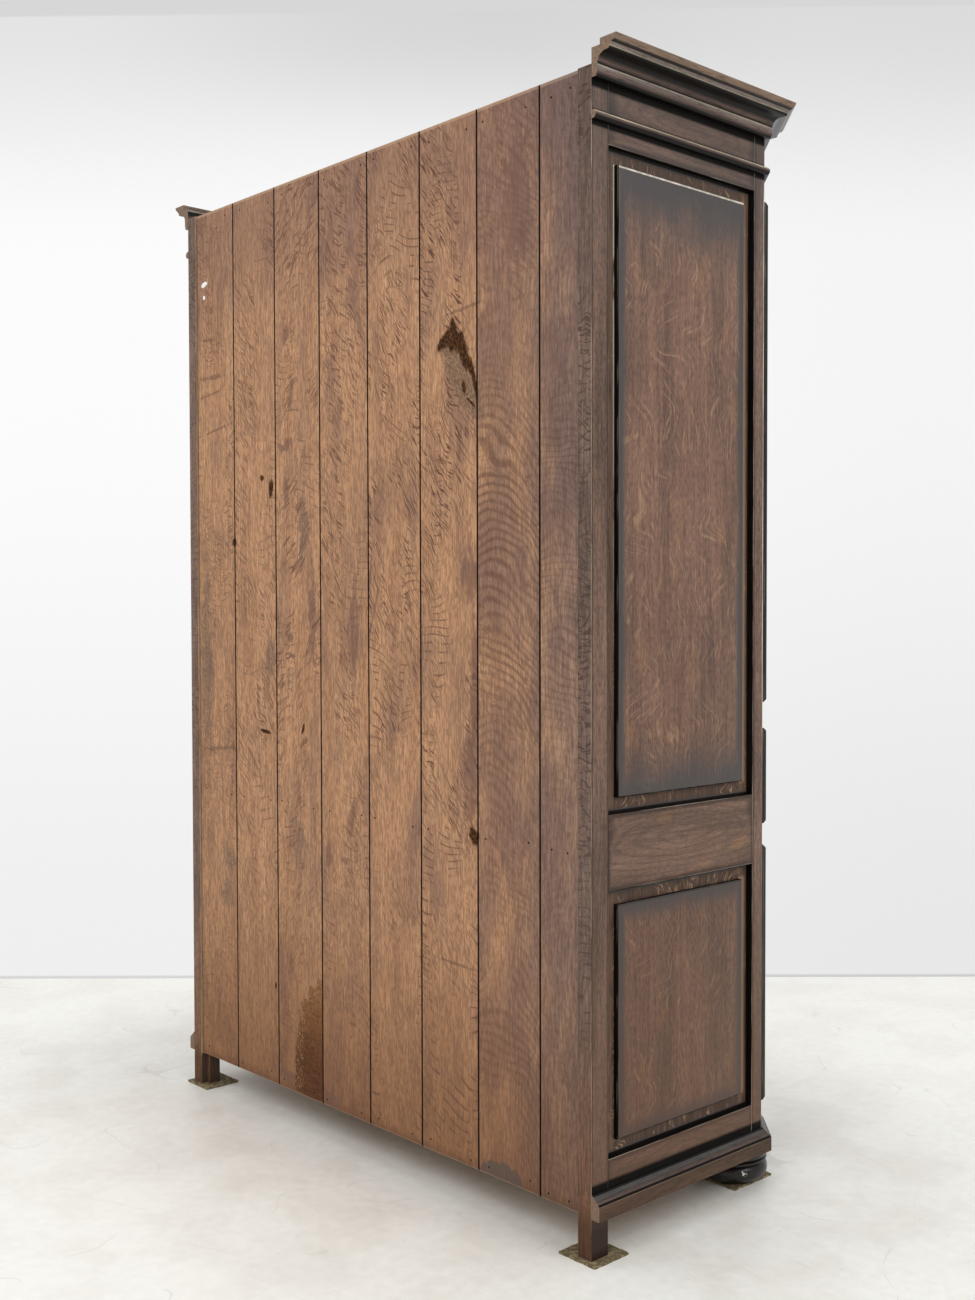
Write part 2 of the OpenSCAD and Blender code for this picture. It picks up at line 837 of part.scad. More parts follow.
module bun_foot_profile() {
    core_in = 17;
    low_r = 20;
    low_in = 2;
    ring_r = 3.5;
    ring_in = 3;
    ring_z = 2 * low_r + 1;
    top_r = 16;
    neck_in = 7;
    neck_h = 6;
    neck_drop = 2;
    intersection() {
        union() {
            square([foot_r - core_in, foot_h]);
            translate([foot_r - low_r - low_in, low_r]) circle(low_r);
            translate([foot_r - ring_r - ring_in, ring_z]) circle(ring_r);
            translate([foot_r - top_r, foot_h - top_r - neck_drop]) circle(top_r);
            translate([0, foot_h - neck_h]) square([foot_r - neck_in, neck_h]);
        }
        square([foot_r, foot_h]);
    }
}

module bun_feet() {
    color(black_oak) for (side = [left, right]) on_side(side) translate([foot_u, foot_v, 0]) {
        rotate_extrude() bun_foot_profile();
        translate([0, 0, foot_h - over]) cylinder(r = dowel_r, h = dowel_l + over);
    }
}

module pad(u, v, w) {
    translate([u - w / 2, v - w / 2, -pad_t]) cube([w, w, pad_t]);
}

module felt_pads() {
    color(felt) for (side = [left, right]) on_side(side) {
        pad(rear_pad_u, rear_pad_v, rear_pad_w);
        pad(foot_u, foot_v, front_pad_w);
    }
}

rear_post(left);  // left_rear_post
rear_post(right);  // right_rear_post
corner_post(left);  // left_corner_post
corner_post(right);  // right_corner_post
side_rails(left);  // left_side_rails
side_rails(right);  // right_side_rails
side_panel(left, 1);  // left_upper_panel
side_panel(left, 0);  // left_lower_panel
side_panel(right, 1);  // right_upper_panel
side_panel(right, 0);  // right_lower_panel
back_board(1);  // back_board_1
back_board(2);  // back_board_2
back_board(3);  // back_board_3
back_board(4);  // back_board_4
back_board(5);  // back_board_5
back_board(6);  // back_board_6
back_board(7);  // back_board_7
back_board(8);  // back_board_8
back_rails();
floor_board();
roof_board();
foot_blocks();
front_rail(front_rails_at[1]);  // front_top_rail
front_rail(front_rails_at[0]);  // front_bottom_rail
centre_stile();
side_cornice(left);  // left_cornice
side_cornice(right);  // right_cornice
front_cornice();
bead_moulding();
side_plinth(left);  // left_plinth
side_plinth(right);  // right_plinth
front_plinth();
corner_blocks();
centre_blocks();
door_stiles(left);  // left_door_stiles
door_rails(left);  // left_door_rails
door_panel(left, 1);  // left_door_upper_panel
door_panel(left, 0);  // left_door_lower_panel
door_stiles(right);  // right_door_stiles
door_rails(right);  // right_door_rails
door_panel(right, 1);  // right_door_upper_panel
door_panel(right, 0);  // right_door_lower_panel
post_hinge_halves();
door_hinge_halves(left);  // left_door_hinge_halves
door_hinge_halves(right);  // right_door_hinge_halves
lock_case(left);  // left_lock_case
lock_case(right);  // right_lock_case
lock_bolt(left);  // left_lock_bolt
lock_bolt(right);  // right_lock_bolt
key(left);  // left_key
key(right);  // right_key
escutcheon(left);  // left_escutcheon
escutcheon(right);  // right_escutcheon
hat_shelf();
shelf_cleats();
hanging_rod();
rod_sockets();
bun_feet();
felt_pads();
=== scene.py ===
# %% [markdown]
# # A two-door oak wardrobe
#
# The wardrobe is seen from behind and from its left side. Bare oak boards close its back, and its sides
# are framed panels in dark stained oak under a hollow cornice. The solids of every piece are already made,
# at their real size. What is added here is what a cabinet maker and a hundred years of use added: softened
# arrises, stain rubbed thin, figure in the oak, knots, nails and felt under the feet.
#
# Loading comes first, because every piece takes its place from the solids.

import json
import math
import random

import bmesh
import bpy
from mathutils import Matrix, Vector, noise

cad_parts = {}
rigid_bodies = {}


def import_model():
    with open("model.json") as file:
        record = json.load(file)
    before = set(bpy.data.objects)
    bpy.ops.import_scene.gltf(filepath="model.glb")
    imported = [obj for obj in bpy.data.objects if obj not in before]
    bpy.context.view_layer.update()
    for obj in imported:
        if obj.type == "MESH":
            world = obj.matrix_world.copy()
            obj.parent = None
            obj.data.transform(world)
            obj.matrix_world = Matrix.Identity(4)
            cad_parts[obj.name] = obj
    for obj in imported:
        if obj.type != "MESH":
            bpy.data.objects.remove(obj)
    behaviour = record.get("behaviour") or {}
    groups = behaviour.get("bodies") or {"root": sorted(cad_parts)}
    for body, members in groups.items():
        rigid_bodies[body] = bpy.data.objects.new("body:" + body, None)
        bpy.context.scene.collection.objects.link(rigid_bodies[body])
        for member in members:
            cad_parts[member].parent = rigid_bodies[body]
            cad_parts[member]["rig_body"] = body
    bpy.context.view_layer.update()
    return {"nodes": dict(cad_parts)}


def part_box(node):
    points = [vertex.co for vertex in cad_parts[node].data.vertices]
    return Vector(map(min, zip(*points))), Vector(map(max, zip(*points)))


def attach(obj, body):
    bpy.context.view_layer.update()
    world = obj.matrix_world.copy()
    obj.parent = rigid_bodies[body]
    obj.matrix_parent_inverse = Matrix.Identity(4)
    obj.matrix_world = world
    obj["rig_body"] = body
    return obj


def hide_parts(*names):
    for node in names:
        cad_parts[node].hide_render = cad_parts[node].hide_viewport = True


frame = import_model()

# %% [markdown]
# ## The camera
#
# Straight edges of the wardrobe give the camera's place, because its uprights are parallel and its back and
# side are square to each other. The camera stood a little over a metre high and looked down by less than two
# degrees, so the uprights stay almost parallel in the picture. Its axes are worked out from three angles and
# written as the columns of a matrix, which is easier to read than three chained rotations. The focal length
# and the height of the picture are both in pixels, so their quotient gives the lens for any sensor.

# %% Place the camera
PICTURE_HIGH = 1300
FOCAL_LENGTH = 1437.4
CAMERA_PLACE = Vector((-2.404, 2.135, 1.164))
CAMERA_TURN = math.radians(47.58)
CAMERA_TILT = math.radians(1.663)
CAMERA_ROLL = math.radians(-0.118)


def camera_axes(turn, tilt, roll):
    """Right, up and forward of a camera that looks towards the front right and slightly down."""
    forward = Vector((math.sin(turn) * math.cos(tilt), -math.cos(turn) * math.cos(tilt), -math.sin(tilt)))
    right = Vector((-math.cos(turn), -math.sin(turn), 0))
    up = right.cross(forward)
    tipped_right = right * math.cos(roll) + up * math.sin(roll)
    tipped_up = up * math.cos(roll) - right * math.sin(roll)
    return tipped_right, tipped_up, forward


right, up, forward = camera_axes(CAMERA_TURN, CAMERA_TILT, CAMERA_ROLL)
camera = bpy.data.objects.new("camera", bpy.data.cameras.new("camera"))
camera.data.lens = FOCAL_LENGTH / PICTURE_HIGH * camera.data.sensor_width
camera.matrix_world = Matrix.Translation(CAMERA_PLACE) @ Matrix((right, up, -forward)).transposed().to_4x4()
bpy.context.scene.collection.objects.link(camera)
bpy.context.scene.camera = camera
print("lens in millimetres:", round(camera.data.lens, 2))

# %% [markdown]
# ## Materials as arithmetic
#
# A material in Blender is a graph of nodes, and a graph is slow to read as a list of links. Two small
# classes let a finish be written as arithmetic instead. A Wire is a value on its way through the graph:
# adding or multiplying wires adds Math nodes. A Finish is one material, and its node method adds any other
# node.

# %% Wires and finishes
class Wire:
    """One output of a node. Arithmetic on it adds Math nodes to its material."""

    def __init__(self, finish, socket):
        self.finish = finish
        self.socket = socket

    def math(self, operation, *values):
        return self.finish.node("Math", dict(enumerate(values)), operation=operation)

    def __add__(self, other):
        return self.math("ADD", self, other)

    def __radd__(self, other):
        return self.math("ADD", other, self)

    def __sub__(self, other):
        return self.math("SUBTRACT", self, other)

    def __rsub__(self, other):
        return self.math("SUBTRACT", other, self)

    def __mul__(self, other):
        return self.math("MULTIPLY", self, other)

    def __rmul__(self, other):
        return self.math("MULTIPLY", other, self)

    def __truediv__(self, other):
        return self.math("DIVIDE", self, other)

    def __pow__(self, other):
        return self.math("POWER", self, other)

    def __abs__(self):
        return self.math("ABSOLUTE", self)


class Finish:
    """One material. Its node method adds a node, with its settings first and then its sockets."""

    def __init__(self, name):
        self.material = bpy.data.materials.new(name)
        self.material.use_nodes = True
        self.tree = self.material.node_tree
        self.shader = self.tree.nodes["Principled BSDF"]

    def node(self, kind, inputs=(), output=0, **settings):
        made = self.tree.nodes.new("ShaderNode" + kind)
        for name, value in settings.items():
            setattr(made, name, value)
        for name, value in dict(inputs).items():
            self.plug(made.inputs[name], value)
        return Wire(self, made.outputs[output])

    def plug(self, socket, value):
        if isinstance(value, Wire):
            self.tree.links.new(value.socket, socket)
        elif socket.type == "RGBA":
            socket.default_value = (*value, 1)
        else:
            socket.default_value = value

    def surface(self, **inputs):
        for name, value in inputs.items():
            self.plug(self.shader.inputs[name.replace("_", " ")], value)
        return self.material


print("wires and finishes are ready")

# %% [markdown]
# ## A few tools for patterns
#
# Every finish below is built from the same four moves: a noise that is stretched to the shape of a feature,
# a soft step that turns it into a mask, a mix of two colours by a mask, and a nearest value. Sizes are given
# as features per metre, so 1000 is a detail of about a millimetre.

# %% Pattern tools
def part(vector, axis):
    """One coordinate of a vector wire."""
    return vector.finish.node("SeparateXYZ", {0: vector}, output=axis)


def point(x, y, z):
    """A vector wire from three numbers or wires."""
    finish = next(value.finish for value in (x, y, z) if isinstance(value, Wire))
    return finish.node("CombineXYZ", {0: x, 1: y, 2: z})


def cloud(place, per_metre, detail=2.0, output=0):
    """Noise from 0 to 1 with its own number of features per metre in each direction."""
    stretched = place.finish.node("VectorMath", {0: place, 1: per_metre}, operation="MULTIPLY")
    return place.finish.node("TexNoise", {"Vector": stretched, "Scale": 1.0, "Detail": detail}, output=output)


def bent(place, by, per_metre):
    """A place that wanders by up to half of by metres."""
    drift = cloud(place, per_metre, 1.0, output="Color")
    middle = tuple(-amount / 2 for amount in by)
    moved = place.finish.node("VectorMath", {0: drift, 1: by, 2: middle}, operation="MULTIPLY_ADD")
    return place.finish.node("VectorMath", {0: moved, 1: place}, operation="ADD")


def rise(value, low, high):
    """0 below low and 1 above high, with a soft step between. It falls where low is the larger."""
    return value.finish.node("MapRange", {"Value": value, "From Min": low, "From Max": high},
                             interpolation_type="SMOOTHSTEP")


def waves(turns):
    """A wave from -1 to 1 that repeats at every whole number of turns."""
    return turns.math("SINE", turns * math.tau)


def least(first, second):
    return first.math("MINIMUM", first, second)


def most(first, second):
    return first.math("MAXIMUM", first, second)


def blend(amount, under, over, how):
    """A Mix node for colours. Its colour sockets have the numbers 6 and 7, and its result the number 2."""
    finish = next(value.finish for value in (amount, under, over) if isinstance(value, Wire))
    return finish.node("Mix", {0: amount, 6: under, 7: over}, output=2, data_type="RGBA", blend_type=how)


def paint(under, over, mask):
    """The colour over laid on the colour under where the mask is 1."""
    return blend(mask, under, over, "MIX")


def shade(colour, amount):
    """A colour made darker or lighter by a wire of numbers around 1."""
    return blend(1.0, colour, point(amount, amount, amount), "MULTIPLY")


def relief(height, depth, strength=1.0):
    """A bump whose full height is depth metres."""
    return height.finish.node("Bump", {"Strength": strength, "Distance": depth, "Height": height})


def own(finish, name, output="Fac"):
    """A value that the mesh keeps under a name."""
    return finish.node("Attribute", output=output, attribute_name=name)


def in_object(finish):
    """The place on the wardrobe itself, in metres."""
    return finish.node("TexCoord", output="Object")


print("pattern tools are ready")

# %% [markdown]
# ## Where the grain runs
#
# A plank's figure follows the plank, so a pattern on plain object coordinates would cross the rails and the
# slanted corners at odd angles. Each solid gets its own coordinates instead: along its longest edge, across
# its widest face and through its thickness. They are kept in the attribute "grain", shifted for each plank
# so that no two look alike. The attributes "near" and "far" hold the distances to the ends of the plank's
# box, which lets a finish darken towards an edge.
#
# A machine-sharp arris never catches the light, so each copy also has its long arrises rounded with a narrow
# bevel, and the new faces are marked in the attribute "arris" for wear.

# %% Grain coordinates and soft arrises
PLANK_SHIFT = Vector((3.71, 5.13, 2.37))
SQUARE_ENOUGH = 0.1
SHORTEST_ARRIS = 0.012
SHARP_FROM = math.radians(25)
planks_made = 0


def corners(places):
    """The lowest and the highest corner of the box round some places."""
    low = Vector([min(place[axis] for place in places) for axis in range(3)])
    return low, Vector([max(place[axis] for place in places) for axis in range(3)])


def islands(mesh):
    """The separate solids of a bmesh, each as a list of faces."""
    left = set(mesh.faces)
    found = []
    for start in mesh.faces:
        if start not in left:
            continue
        left.discard(start)
        group = [start]
        for face in group:
            for edge in face.edges:
                for other in edge.link_faces:
                    if other in left:
                        left.discard(other)
                        group.append(other)
        found.append(group)
    return found


def plank_axes(faces):
    """Across, through and along one solid, from its widest long face and its longest edge."""
    longest = max((edge for face in faces for edge in face.edges), key=lambda edge: edge.calc_length())
    along = uphill(longest.verts[1].co - longest.verts[0].co)
    sides = [face for face in faces if abs(face.normal.dot(along)) < SQUARE_ENOUGH]
    through = uphill(max(sides, key=lambda face: face.calc_area()).normal)
    return along.cross(through), through, along


def uphill(direction):
    """A direction of length 1 whose largest coordinate is positive."""
    unit = direction.normalized()
    return -unit if unit[max(range(3), key=lambda axis: abs(unit[axis]))] < 0 else unit


def map_grain(mesh):
    """Writes the grain, near and far coordinates of each solid in a bmesh."""
    global planks_made
    layers = [mesh.verts.layers.float_vector.new(name) for name in ("grain", "near", "far")]
    for faces in islands(mesh):
        planks_made += 1
        turn = Matrix(plank_axes(faces))
        places = {vert: turn @ vert.co for face in faces for vert in face.verts}
        low, high = corners(places.values())
        for vert, place in places.items():
            vert[layers[0]] = place - low + PLANK_SHIFT * planks_made
            vert[layers[1]] = place - low
            vert[layers[2]] = high - place


def soften(mesh, width):
    """Rounds the long convex arrises of a bmesh, and marks the new faces along and across the grain."""
    arris = mesh.faces.layers.float.new("arris")
    end = mesh.faces.layers.float.new("end")
    grain = mesh.verts.layers.float_vector["grain"]
    arrises = [edge for edge in mesh.edges if edge.is_manifold and edge.is_convex
               and edge.calc_face_angle(0) > SHARP_FROM and edge.calc_length() > SHORTEST_ARRIS]
    made = bmesh.ops.bevel(mesh, geom=arrises, offset=width, offset_type="OFFSET", segments=2, profile=0.5,
                           affect="EDGES", clamp_overlap=False, material=-1)
    for face in made["faces"]:
        low, high = corners([vert[grain] for vert in face.verts])
        across, through, along = (high[axis] - low[axis] for axis in range(3))
        face[arris if along > max(across, through) else end] = 1.0


print("arrises shorter than", SHORTEST_ARRIS, "m stay sharp")

# %% [markdown]
# ## Dressing a solid
#
# The solids carry no finish, and their own mesh must not be changed, so each is copied, cleaned, softened
# and mapped, and the copy stands for it. One piece of furniture wears several finishes: the show face is
# stained, the edge towards a recess is nearly black, and the inside is bare. A list of directions says
# which faces get which finish. The sawn rear ends of the mouldings are marked in the attribute "cut",
# because end grain takes stain differently.
#
# Three steps serve every piece that is made here: a merged copy of a solid, an object made of a finished
# mesh, and the mark of what the piece is in the wardrobe.

# %% The dress function
MERGE_WITHIN = 1e-5
FLAT_WITHIN = math.radians(0.5)
SMOOTH_ANGLE = math.radians(20)
SAME_WAY = math.cos(math.radians(20))
REAR_ENDS = 0.28


def merged_copy(name):
    """A bmesh of a solid whose loose triangles are joined into one skin."""
    mesh = bmesh.new()
    mesh.from_mesh(frame["nodes"][name].data)
    bmesh.ops.remove_doubles(mesh, verts=mesh.verts, dist=MERGE_WITHIN)
    return mesh


def into_scene(name, mesh, finishes=()):
    """Makes an object of a bmesh, with its place in its mesh, and frees the bmesh."""
    data = bpy.data.meshes.new(name)
    mesh.to_mesh(data)
    mesh.free()
    for finish in finishes:
        data.materials.append(finish)
    piece = bpy.data.objects.new(name, data)
    bpy.context.scene.collection.objects.link(piece)
    return piece


def dress(name, finishes, facing=(), width=0.0008, figure=(0.5, 0.5, 0.0), lean=0.5):
    """Copies a solid, softens it, maps its grain and gives it finishes. facing lists pairs of a direction
    and the number of a finish. figure says how stained, flecked and rippled the wood is, and lean how steeply
    its flecks cross the grain."""
    mesh = merged_copy(name)
    bmesh.ops.dissolve_limit(mesh, angle_limit=FLAT_WITHIN, verts=mesh.verts, edges=mesh.edges)
    map_grain(mesh)
    cut = mesh.faces.layers.float.new("cut")
    for face in mesh.faces:
        face.material_index = 0
        face[cut] = 1.0 if abs(face.normal.y) > SAME_WAY and face.calc_center_median().y > REAR_ENDS else 0.0
        for direction, index in facing:
            if face.normal.dot(Vector(direction).normalized()) > SAME_WAY:
                face.material_index = index
    if width:
        soften(mesh, width)
    figures = mesh.verts.layers.float_vector.new("figure")
    leans = mesh.verts.layers.float.new("lean")
    for vert in mesh.verts:
        vert[figures] = figure
        vert[leans] = lean
    for edge in mesh.edges:
        edge.smooth = edge.calc_face_angle(math.pi) < SMOOTH_ANGLE
    for face in mesh.faces:
        face.smooth = True
    piece = into_scene(name + "_dressed", mesh, finishes)
    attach(piece, frame["nodes"][name]["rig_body"])
    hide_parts(name)


# %% [markdown]
# ## The figure of oak
#
# Oak shows three things at once. Its pores are short dark strokes along the grain. Its growth rings are
# soft stripes. And where a board is cut towards the heart, the rays show as flecks: thin curved strokes
# that cross the grain. A ray is a thin sheet in the wood, so a fleck is where the surface cuts that sheet.
# Three patterns draw them: blots of a noise that is sheared to lean across the grain, bunches of lines, and
# fine curls. Each helper gives a mask, so a finish decides by itself how dark and how dense its figure is.

# %% Oak figure
def grain_of(finish):
    return own(finish, "grain", "Vector")


def streaks(place, fineness=1.0):
    """Fine light and dark streaks along the grain, and the darker pores among them."""
    fine = cloud(bent(place, (0.004, 0.004, 0.0), (20, 20, 12)), (230 * fineness, 230 * fineness, 17), 2.0)
    pores = rise(cloud(place, (330 * fineness, 330 * fineness, 40), 1.0), 0.56, 0.66)
    return fine, pores


def leaning(place, lean):
    """The place sheared along the grain, so that level strokes climb by lean metres a metre."""
    return point(part(place, "X"), part(place, "Y"), part(place, "Z") - part(place, "X") * lean)


def blots(place, lean, sparse):
    """Short pointed strokes that cross the grain. The lower sparse is, the more there are."""
    turning = bent(leaning(place, lean), (0.0, 0.0, 0.060), (22, 22, 9))
    return rise(cloud(turning, (40, 40, 190), 1.0), sparse, 0.62)


def open_pores(place):
    """Short dark dashes along the grain, wide enough to be seen from across a room."""
    return rise(cloud(place, (300, 300, 75), 0.0), 0.48, 0.62)


def bunches(place, lines_across, lines_along):
    """Bunches of thin curved lines that run together, broken into short pieces. The two numbers say how many
    lines there are in a metre, where nothing bends them."""
    drift = cloud(place, (6, 6, 4.5), 1.0) * 9
    turns = part(place, "X") * lines_across + part(place, "Z") * lines_along + drift
    return rise(waves(turns), 0.72, 0.95) * rise(cloud(place, (44, 44, 24), 1.0), 0.44, 0.53)


def curls(place):
    """Short thin lines that swirl, as rays do where the grain wanders."""
    swirl = bent(place, (0.27, 0.0, 0.0), (5.0, 5.0, 7.0))
    return rise(cloud(swirl, (230, 230, 27), 1.0), 0.575, 0.68)


def zone(place, per_metre=(11, 11, 4), low=0.40, high=0.60):
    """Broad areas where a figure shows."""
    return rise(cloud(place, per_metre, 1.0), low, high)


print("oak figure has streaks, pores, blots, bunches and curls")

# %% [markdown]
# ## Marks on the back boards
#
# Boards for a back are the ones that were not good enough for a front. One has a knot with bark in it and a
# rough grey patch where the plane skipped, one ends in wane, and several have iron stains. Each mark is an
# oval in metres across and up the back, and one shared noise makes all their outlines ragged.

# %% Ragged ovals
def oval(place, rough, centre, size, lean=0.0, ragged=0.5, soft=0.12):
    """1 inside a ragged oval on the back. Centre and half sizes are metres across and up."""
    across = part(place, "X") - centre[0]
    height = part(place, "Z") - centre[1]
    turn = math.radians(lean)
    u = (across * math.cos(turn) + height * math.sin(turn)) / size[0]
    v = (height * math.cos(turn) - across * math.sin(turn)) / size[1]
    return rise((u * u + v * v) ** 0.5 + (rough - 0.5) * (2 * ragged), 1 + soft, 1 - soft)


def ovals(place, rough, marks, ragged=0.5, soft=0.12):
    """Several ovals as one mask. Each mark is x, z, half width, half height and lean."""
    mask = None
    for x, z, wide, high, lean in marks:
        shape = oval(place, rough, (x, z), (wide, high), lean, ragged, soft)
        mask = most(mask, shape) if mask else shape
    return mask


print("marks are ragged ovals")

# %% [markdown]
# ## Bare oak of the back
#
# The boards were never finished. Light and dust have turned them a warm tan, with a purple grey where the
# tannin met damp. The colour is mixed from slow streaks along the grain, then the figure, and last the
# marks. Rays are darker than the ground here, because the bare surface has shrunk between them. The joints
# between the boards are narrow grooves full of dust.
#
# The whole back also changes slowly: redder towards the floor and greyer at the top, and a painted shade
# makes it darker and more purple towards the post on its left, where the light falls off. Each of these is
# a soft step between two places, in metres. Towards the left each colour channel loses a share of its own
# to that painted shade, which leaves the figure as sharp as it was, where a laid-on colour would cloud it.

# %% Colours of bare oak
TAN = (0.530, 0.296, 0.164)
TAN_RED = (0.420, 0.222, 0.121)
PURPLE_GREY = (0.215, 0.128, 0.104)
LOW_RED = (0.225, 0.104, 0.047)
LEG_BROWN = (0.132, 0.061, 0.030)
FLECK_BROWN = (0.135, 0.066, 0.046)
JOINT_BLACK = (0.004, 0.002, 0.002)
# How much of each colour channel the painted shade towards the near post takes away, on boards and posts.
BOARDS_SHADE_LOSS = (0.355, 0.260, 0.075)
POSTS_SHADE_LOSS = (0.18, 0.18, 0.17)
PALE_ARRIS = (0.50, 0.33, 0.21)
FLOOR_GAP = 0.081
REDDER_DOWN = (0.62, 0.04)
GREYER_UP = (1.72, 2.08)
LIVELIER_UP = (0.30, 1.00)
SHADED_LEFT = (-0.40, -0.68)
RIPPLED_FROM = (0.85, 1.10)
RIPPLED_TO = (1.62, 1.42)
BOARD_MIDDLE = 0.045
print("boards redden below", REDDER_DOWN[0], "m and grey above", GREYER_UP[0], "m")


# %% [markdown]
# ## The marks and where they are
#
# The tables hold one mark a line: its place across and up the back, its half width and half height, all in
# metres, and how many degrees it leans. The marks are laid over the boards in the order in which they came:
# first what grew in the wood, then what the saw and plane left, and last the damp and the chalk.

# %% Knots, wane, stains and chalk
BARK = (0.100, 0.036, 0.007)
BARK_BLACK = (0.018, 0.008, 0.004)
ROUGH_GREY = (0.300, 0.180, 0.108)
WANE_BROWN = (0.240, 0.105, 0.041)
WANE_DARK = (0.105, 0.038, 0.015)
WANE_PALE = (0.50, 0.33, 0.18)
IRON_STAIN = (0.105, 0.085, 0.072)
SMOKE = (0.16, 0.115, 0.088)
TORN_BROWN = (0.125, 0.080, 0.052)
MARK_PURPLE = (0.175, 0.092, 0.070)
SCRATCH_BROWN = (0.14, 0.075, 0.055)
CHALK = (0.9, 0.89, 0.87)
BOARDS_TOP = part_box("back_board_2")[1].z
GREY_PATCHES = ((-0.320, 1.605, 0.086, 0.027, 56),)
BARK_MARKS = (
    (-0.300, 1.704, 0.011, 0.020, 0), (-0.279, 1.688, 0.030, 0.010, -40), (-0.306, 1.682, 0.026, 0.020, 0),
    (-0.330, 1.655, 0.058, 0.013, 62), (-0.358, 1.606, 0.044, 0.005, 76), (-0.331, 1.588, 0.014, 0.005, 75),
    (-0.352, 1.556, 0.014, 0.003, 40),
    (0.327, 1.438, 0.008, 0.022, 10), (0.362, 1.461, 0.010, 0.007, 0),
    (0.480, 1.318, 0.009, 0.009, 0), (-0.356, 0.728, 0.012, 0.020, -35), (0.352, 0.884, 0.019, 0.004, 10),
    (0.478, 0.318, 0.003, 0.020, 0), (0.320, 0.308, 0.004, 0.008, 0), (0.207, 0.900, 0.004, 0.012, 20))
THIN_MARKS = (
    (0.550, 0.832, 0.078, 0.004, -5), (0.500, 0.838, 0.024, 0.006, -8), (-0.300, 0.470, 0.046, 0.0028, 3),
    (0.580, 1.803, 0.034, 0.003, 5), (0.570, 1.713, 0.040, 0.005, 0), (0.572, 1.675, 0.056, 0.003, -6),
    (0.553, 1.588, 0.072, 0.003, -8), (-0.0390, 1.26, 0.003, 0.05, 4), (-0.052, 1.17, 0.003, 0.06, 18),
    (-0.322, 1.737, 0.05, 0.003, -6))
SMOKE_MARKS = (
    (0.510, 0.575, 0.030, 0.034, 0), (0.520, 0.490, 0.026, 0.030, 0), (0.605, 1.02, 0.020, 0.26, 0),
    (0.225, 0.64, 0.020, 0.05, 0), (0.33, 1.05, 0.018, 0.045, 0), (0.20, 1.33, 0.016, 0.07, 0))
PURPLE_MARKS = (
    (-0.345, 1.225, 0.026, 0.045, 0), (-0.360, 1.02, 0.011, 0.16, 0), (-0.345, 0.83, 0.018, 0.10, 0),
    (-0.475, 1.90, 0.036, 0.11, 6), (0.264, 1.775, 0.010, 0.024, 20), (0.246, 1.640, 0.008, 0.030, 10),
    (0.260, 1.530, 0.018, 0.010, -25), (0.268, 1.424, 0.009, 0.030, 0), (0.285, 1.52, 0.010, 0.010, 0),
    (0.248, 1.100, 0.014, 0.008, 0), (0.250, 1.060, 0.012, 0.007, 0), (0.262, 1.000, 0.006, 0.010, 0),
    (0.115, 0.63, 0.010, 0.03, 0), (0.055, 0.625, 0.012, 0.006, 30), (0.03, 0.72, 0.010, 0.04, 15),
    (0.17, 1.15, 0.012, 0.10, 0), (0.02, 1.12, 0.014, 0.10, 0), (0.25, 0.106, 0.06, 0.016, 8),
    (0.11, 0.10, 0.03, 0.018, 0))
DAMP_MARKS = ((-0.432, 0.080, 0.062, 0.034, 0),)
CHALK_MARKS = ((0.605, 1.938, 0.013, 0.006, -12), (0.606, 1.907, 0.005, 0.005, 0))
WANE_CENTRE = (0.128, 0.112)
WANE_SIZE = (0.119, 0.238)
WANE_INNER_SIZE = (0.100, 0.215)
WANE_BOARD_FROM = (0.1385, 0.1400)
WANE_DARKENS = (0.36, 0.14)


def sawn_wane(where, rough, speckle, colour):
    """The wild edge of the tree on one board: dark, scored by the saw, with a pale torn rim."""
    edge = oval(where, rough, WANE_CENTRE, WANE_SIZE, ragged=0.16, soft=0.01)
    edge = edge * rise(part(where, "X"), *WANE_BOARD_FROM)
    inside = oval(where, rough, WANE_CENTRE, WANE_INNER_SIZE, ragged=0.4, soft=0.16)
    saw_lines = cloud(where, (45, 45, 280), 2.0) * 0.7 + cloud(where, (300, 300, 40), 1.0) * 0.5
    browned = paint(WANE_BROWN, WANE_DARK, rise(part(where, "Z"), *WANE_DARKENS))
    colour = paint(colour, shade(browned, 0.1 + saw_lines * 1.5), edge)
    return paint(colour, WANE_PALE, edge * (1 - inside * 0.85) * rise(speckle, 0.50, 0.62) * 0.55), edge


def add_marks(where, colour, bump):
    """Knots, bark, wane, stains and chalk on the back, over the colour of the boards."""
    clean_top = rise(part(where, "Z"), BOARDS_TOP - 0.0075, BOARDS_TOP - 0.0060)
    colour = paint(colour, PALE_ARRIS, clean_top * 0.55)
    rough = cloud(where, (75, 75, 42), 4.0)
    speckle = cloud(where, (330, 330, 150), 3.0)
    torn = rise(cloud(where, (300, 300, 170), 1.0), 0.40, 0.60)
    colour = paint(colour, MARK_PURPLE, ovals(where, rough, PURPLE_MARKS, 1.3, 0.35) * 0.62)
    smoke = ovals(where, rough, SMOKE_MARKS, 1.3, 0.4) * rise(speckle, 0.2, 0.7)
    colour = paint(colour, SMOKE, smoke * 0.8)
    grey = ovals(where, rough, GREY_PATCHES, 0.5, 0.22)
    colour = paint(colour, ROUGH_GREY, grey * 0.85)
    colour = paint(colour, TORN_BROWN, grey * torn * 0.8)
    bark = ovals(where, rough, BARK_MARKS, 0.9, 0.32)
    colour = paint(colour, paint(BARK, BARK_BLACK, torn), bark)
    colour = paint(colour, SCRATCH_BROWN, ovals(where, rough, THIN_MARKS, 1.6, 0.4) * 0.55)
    colour, wane = sawn_wane(where, rough, speckle, colour)
    colour = paint(colour, IRON_STAIN, ovals(where, rough, DAMP_MARKS, 0.35, 0.05) * 0.72)
    colour = paint(colour, CHALK, ovals(where, rough, CHALK_MARKS, 0.5, 0.1))
    return colour, bump - (bark + grey * 0.5 + wane * 0.8) * speckle * 3


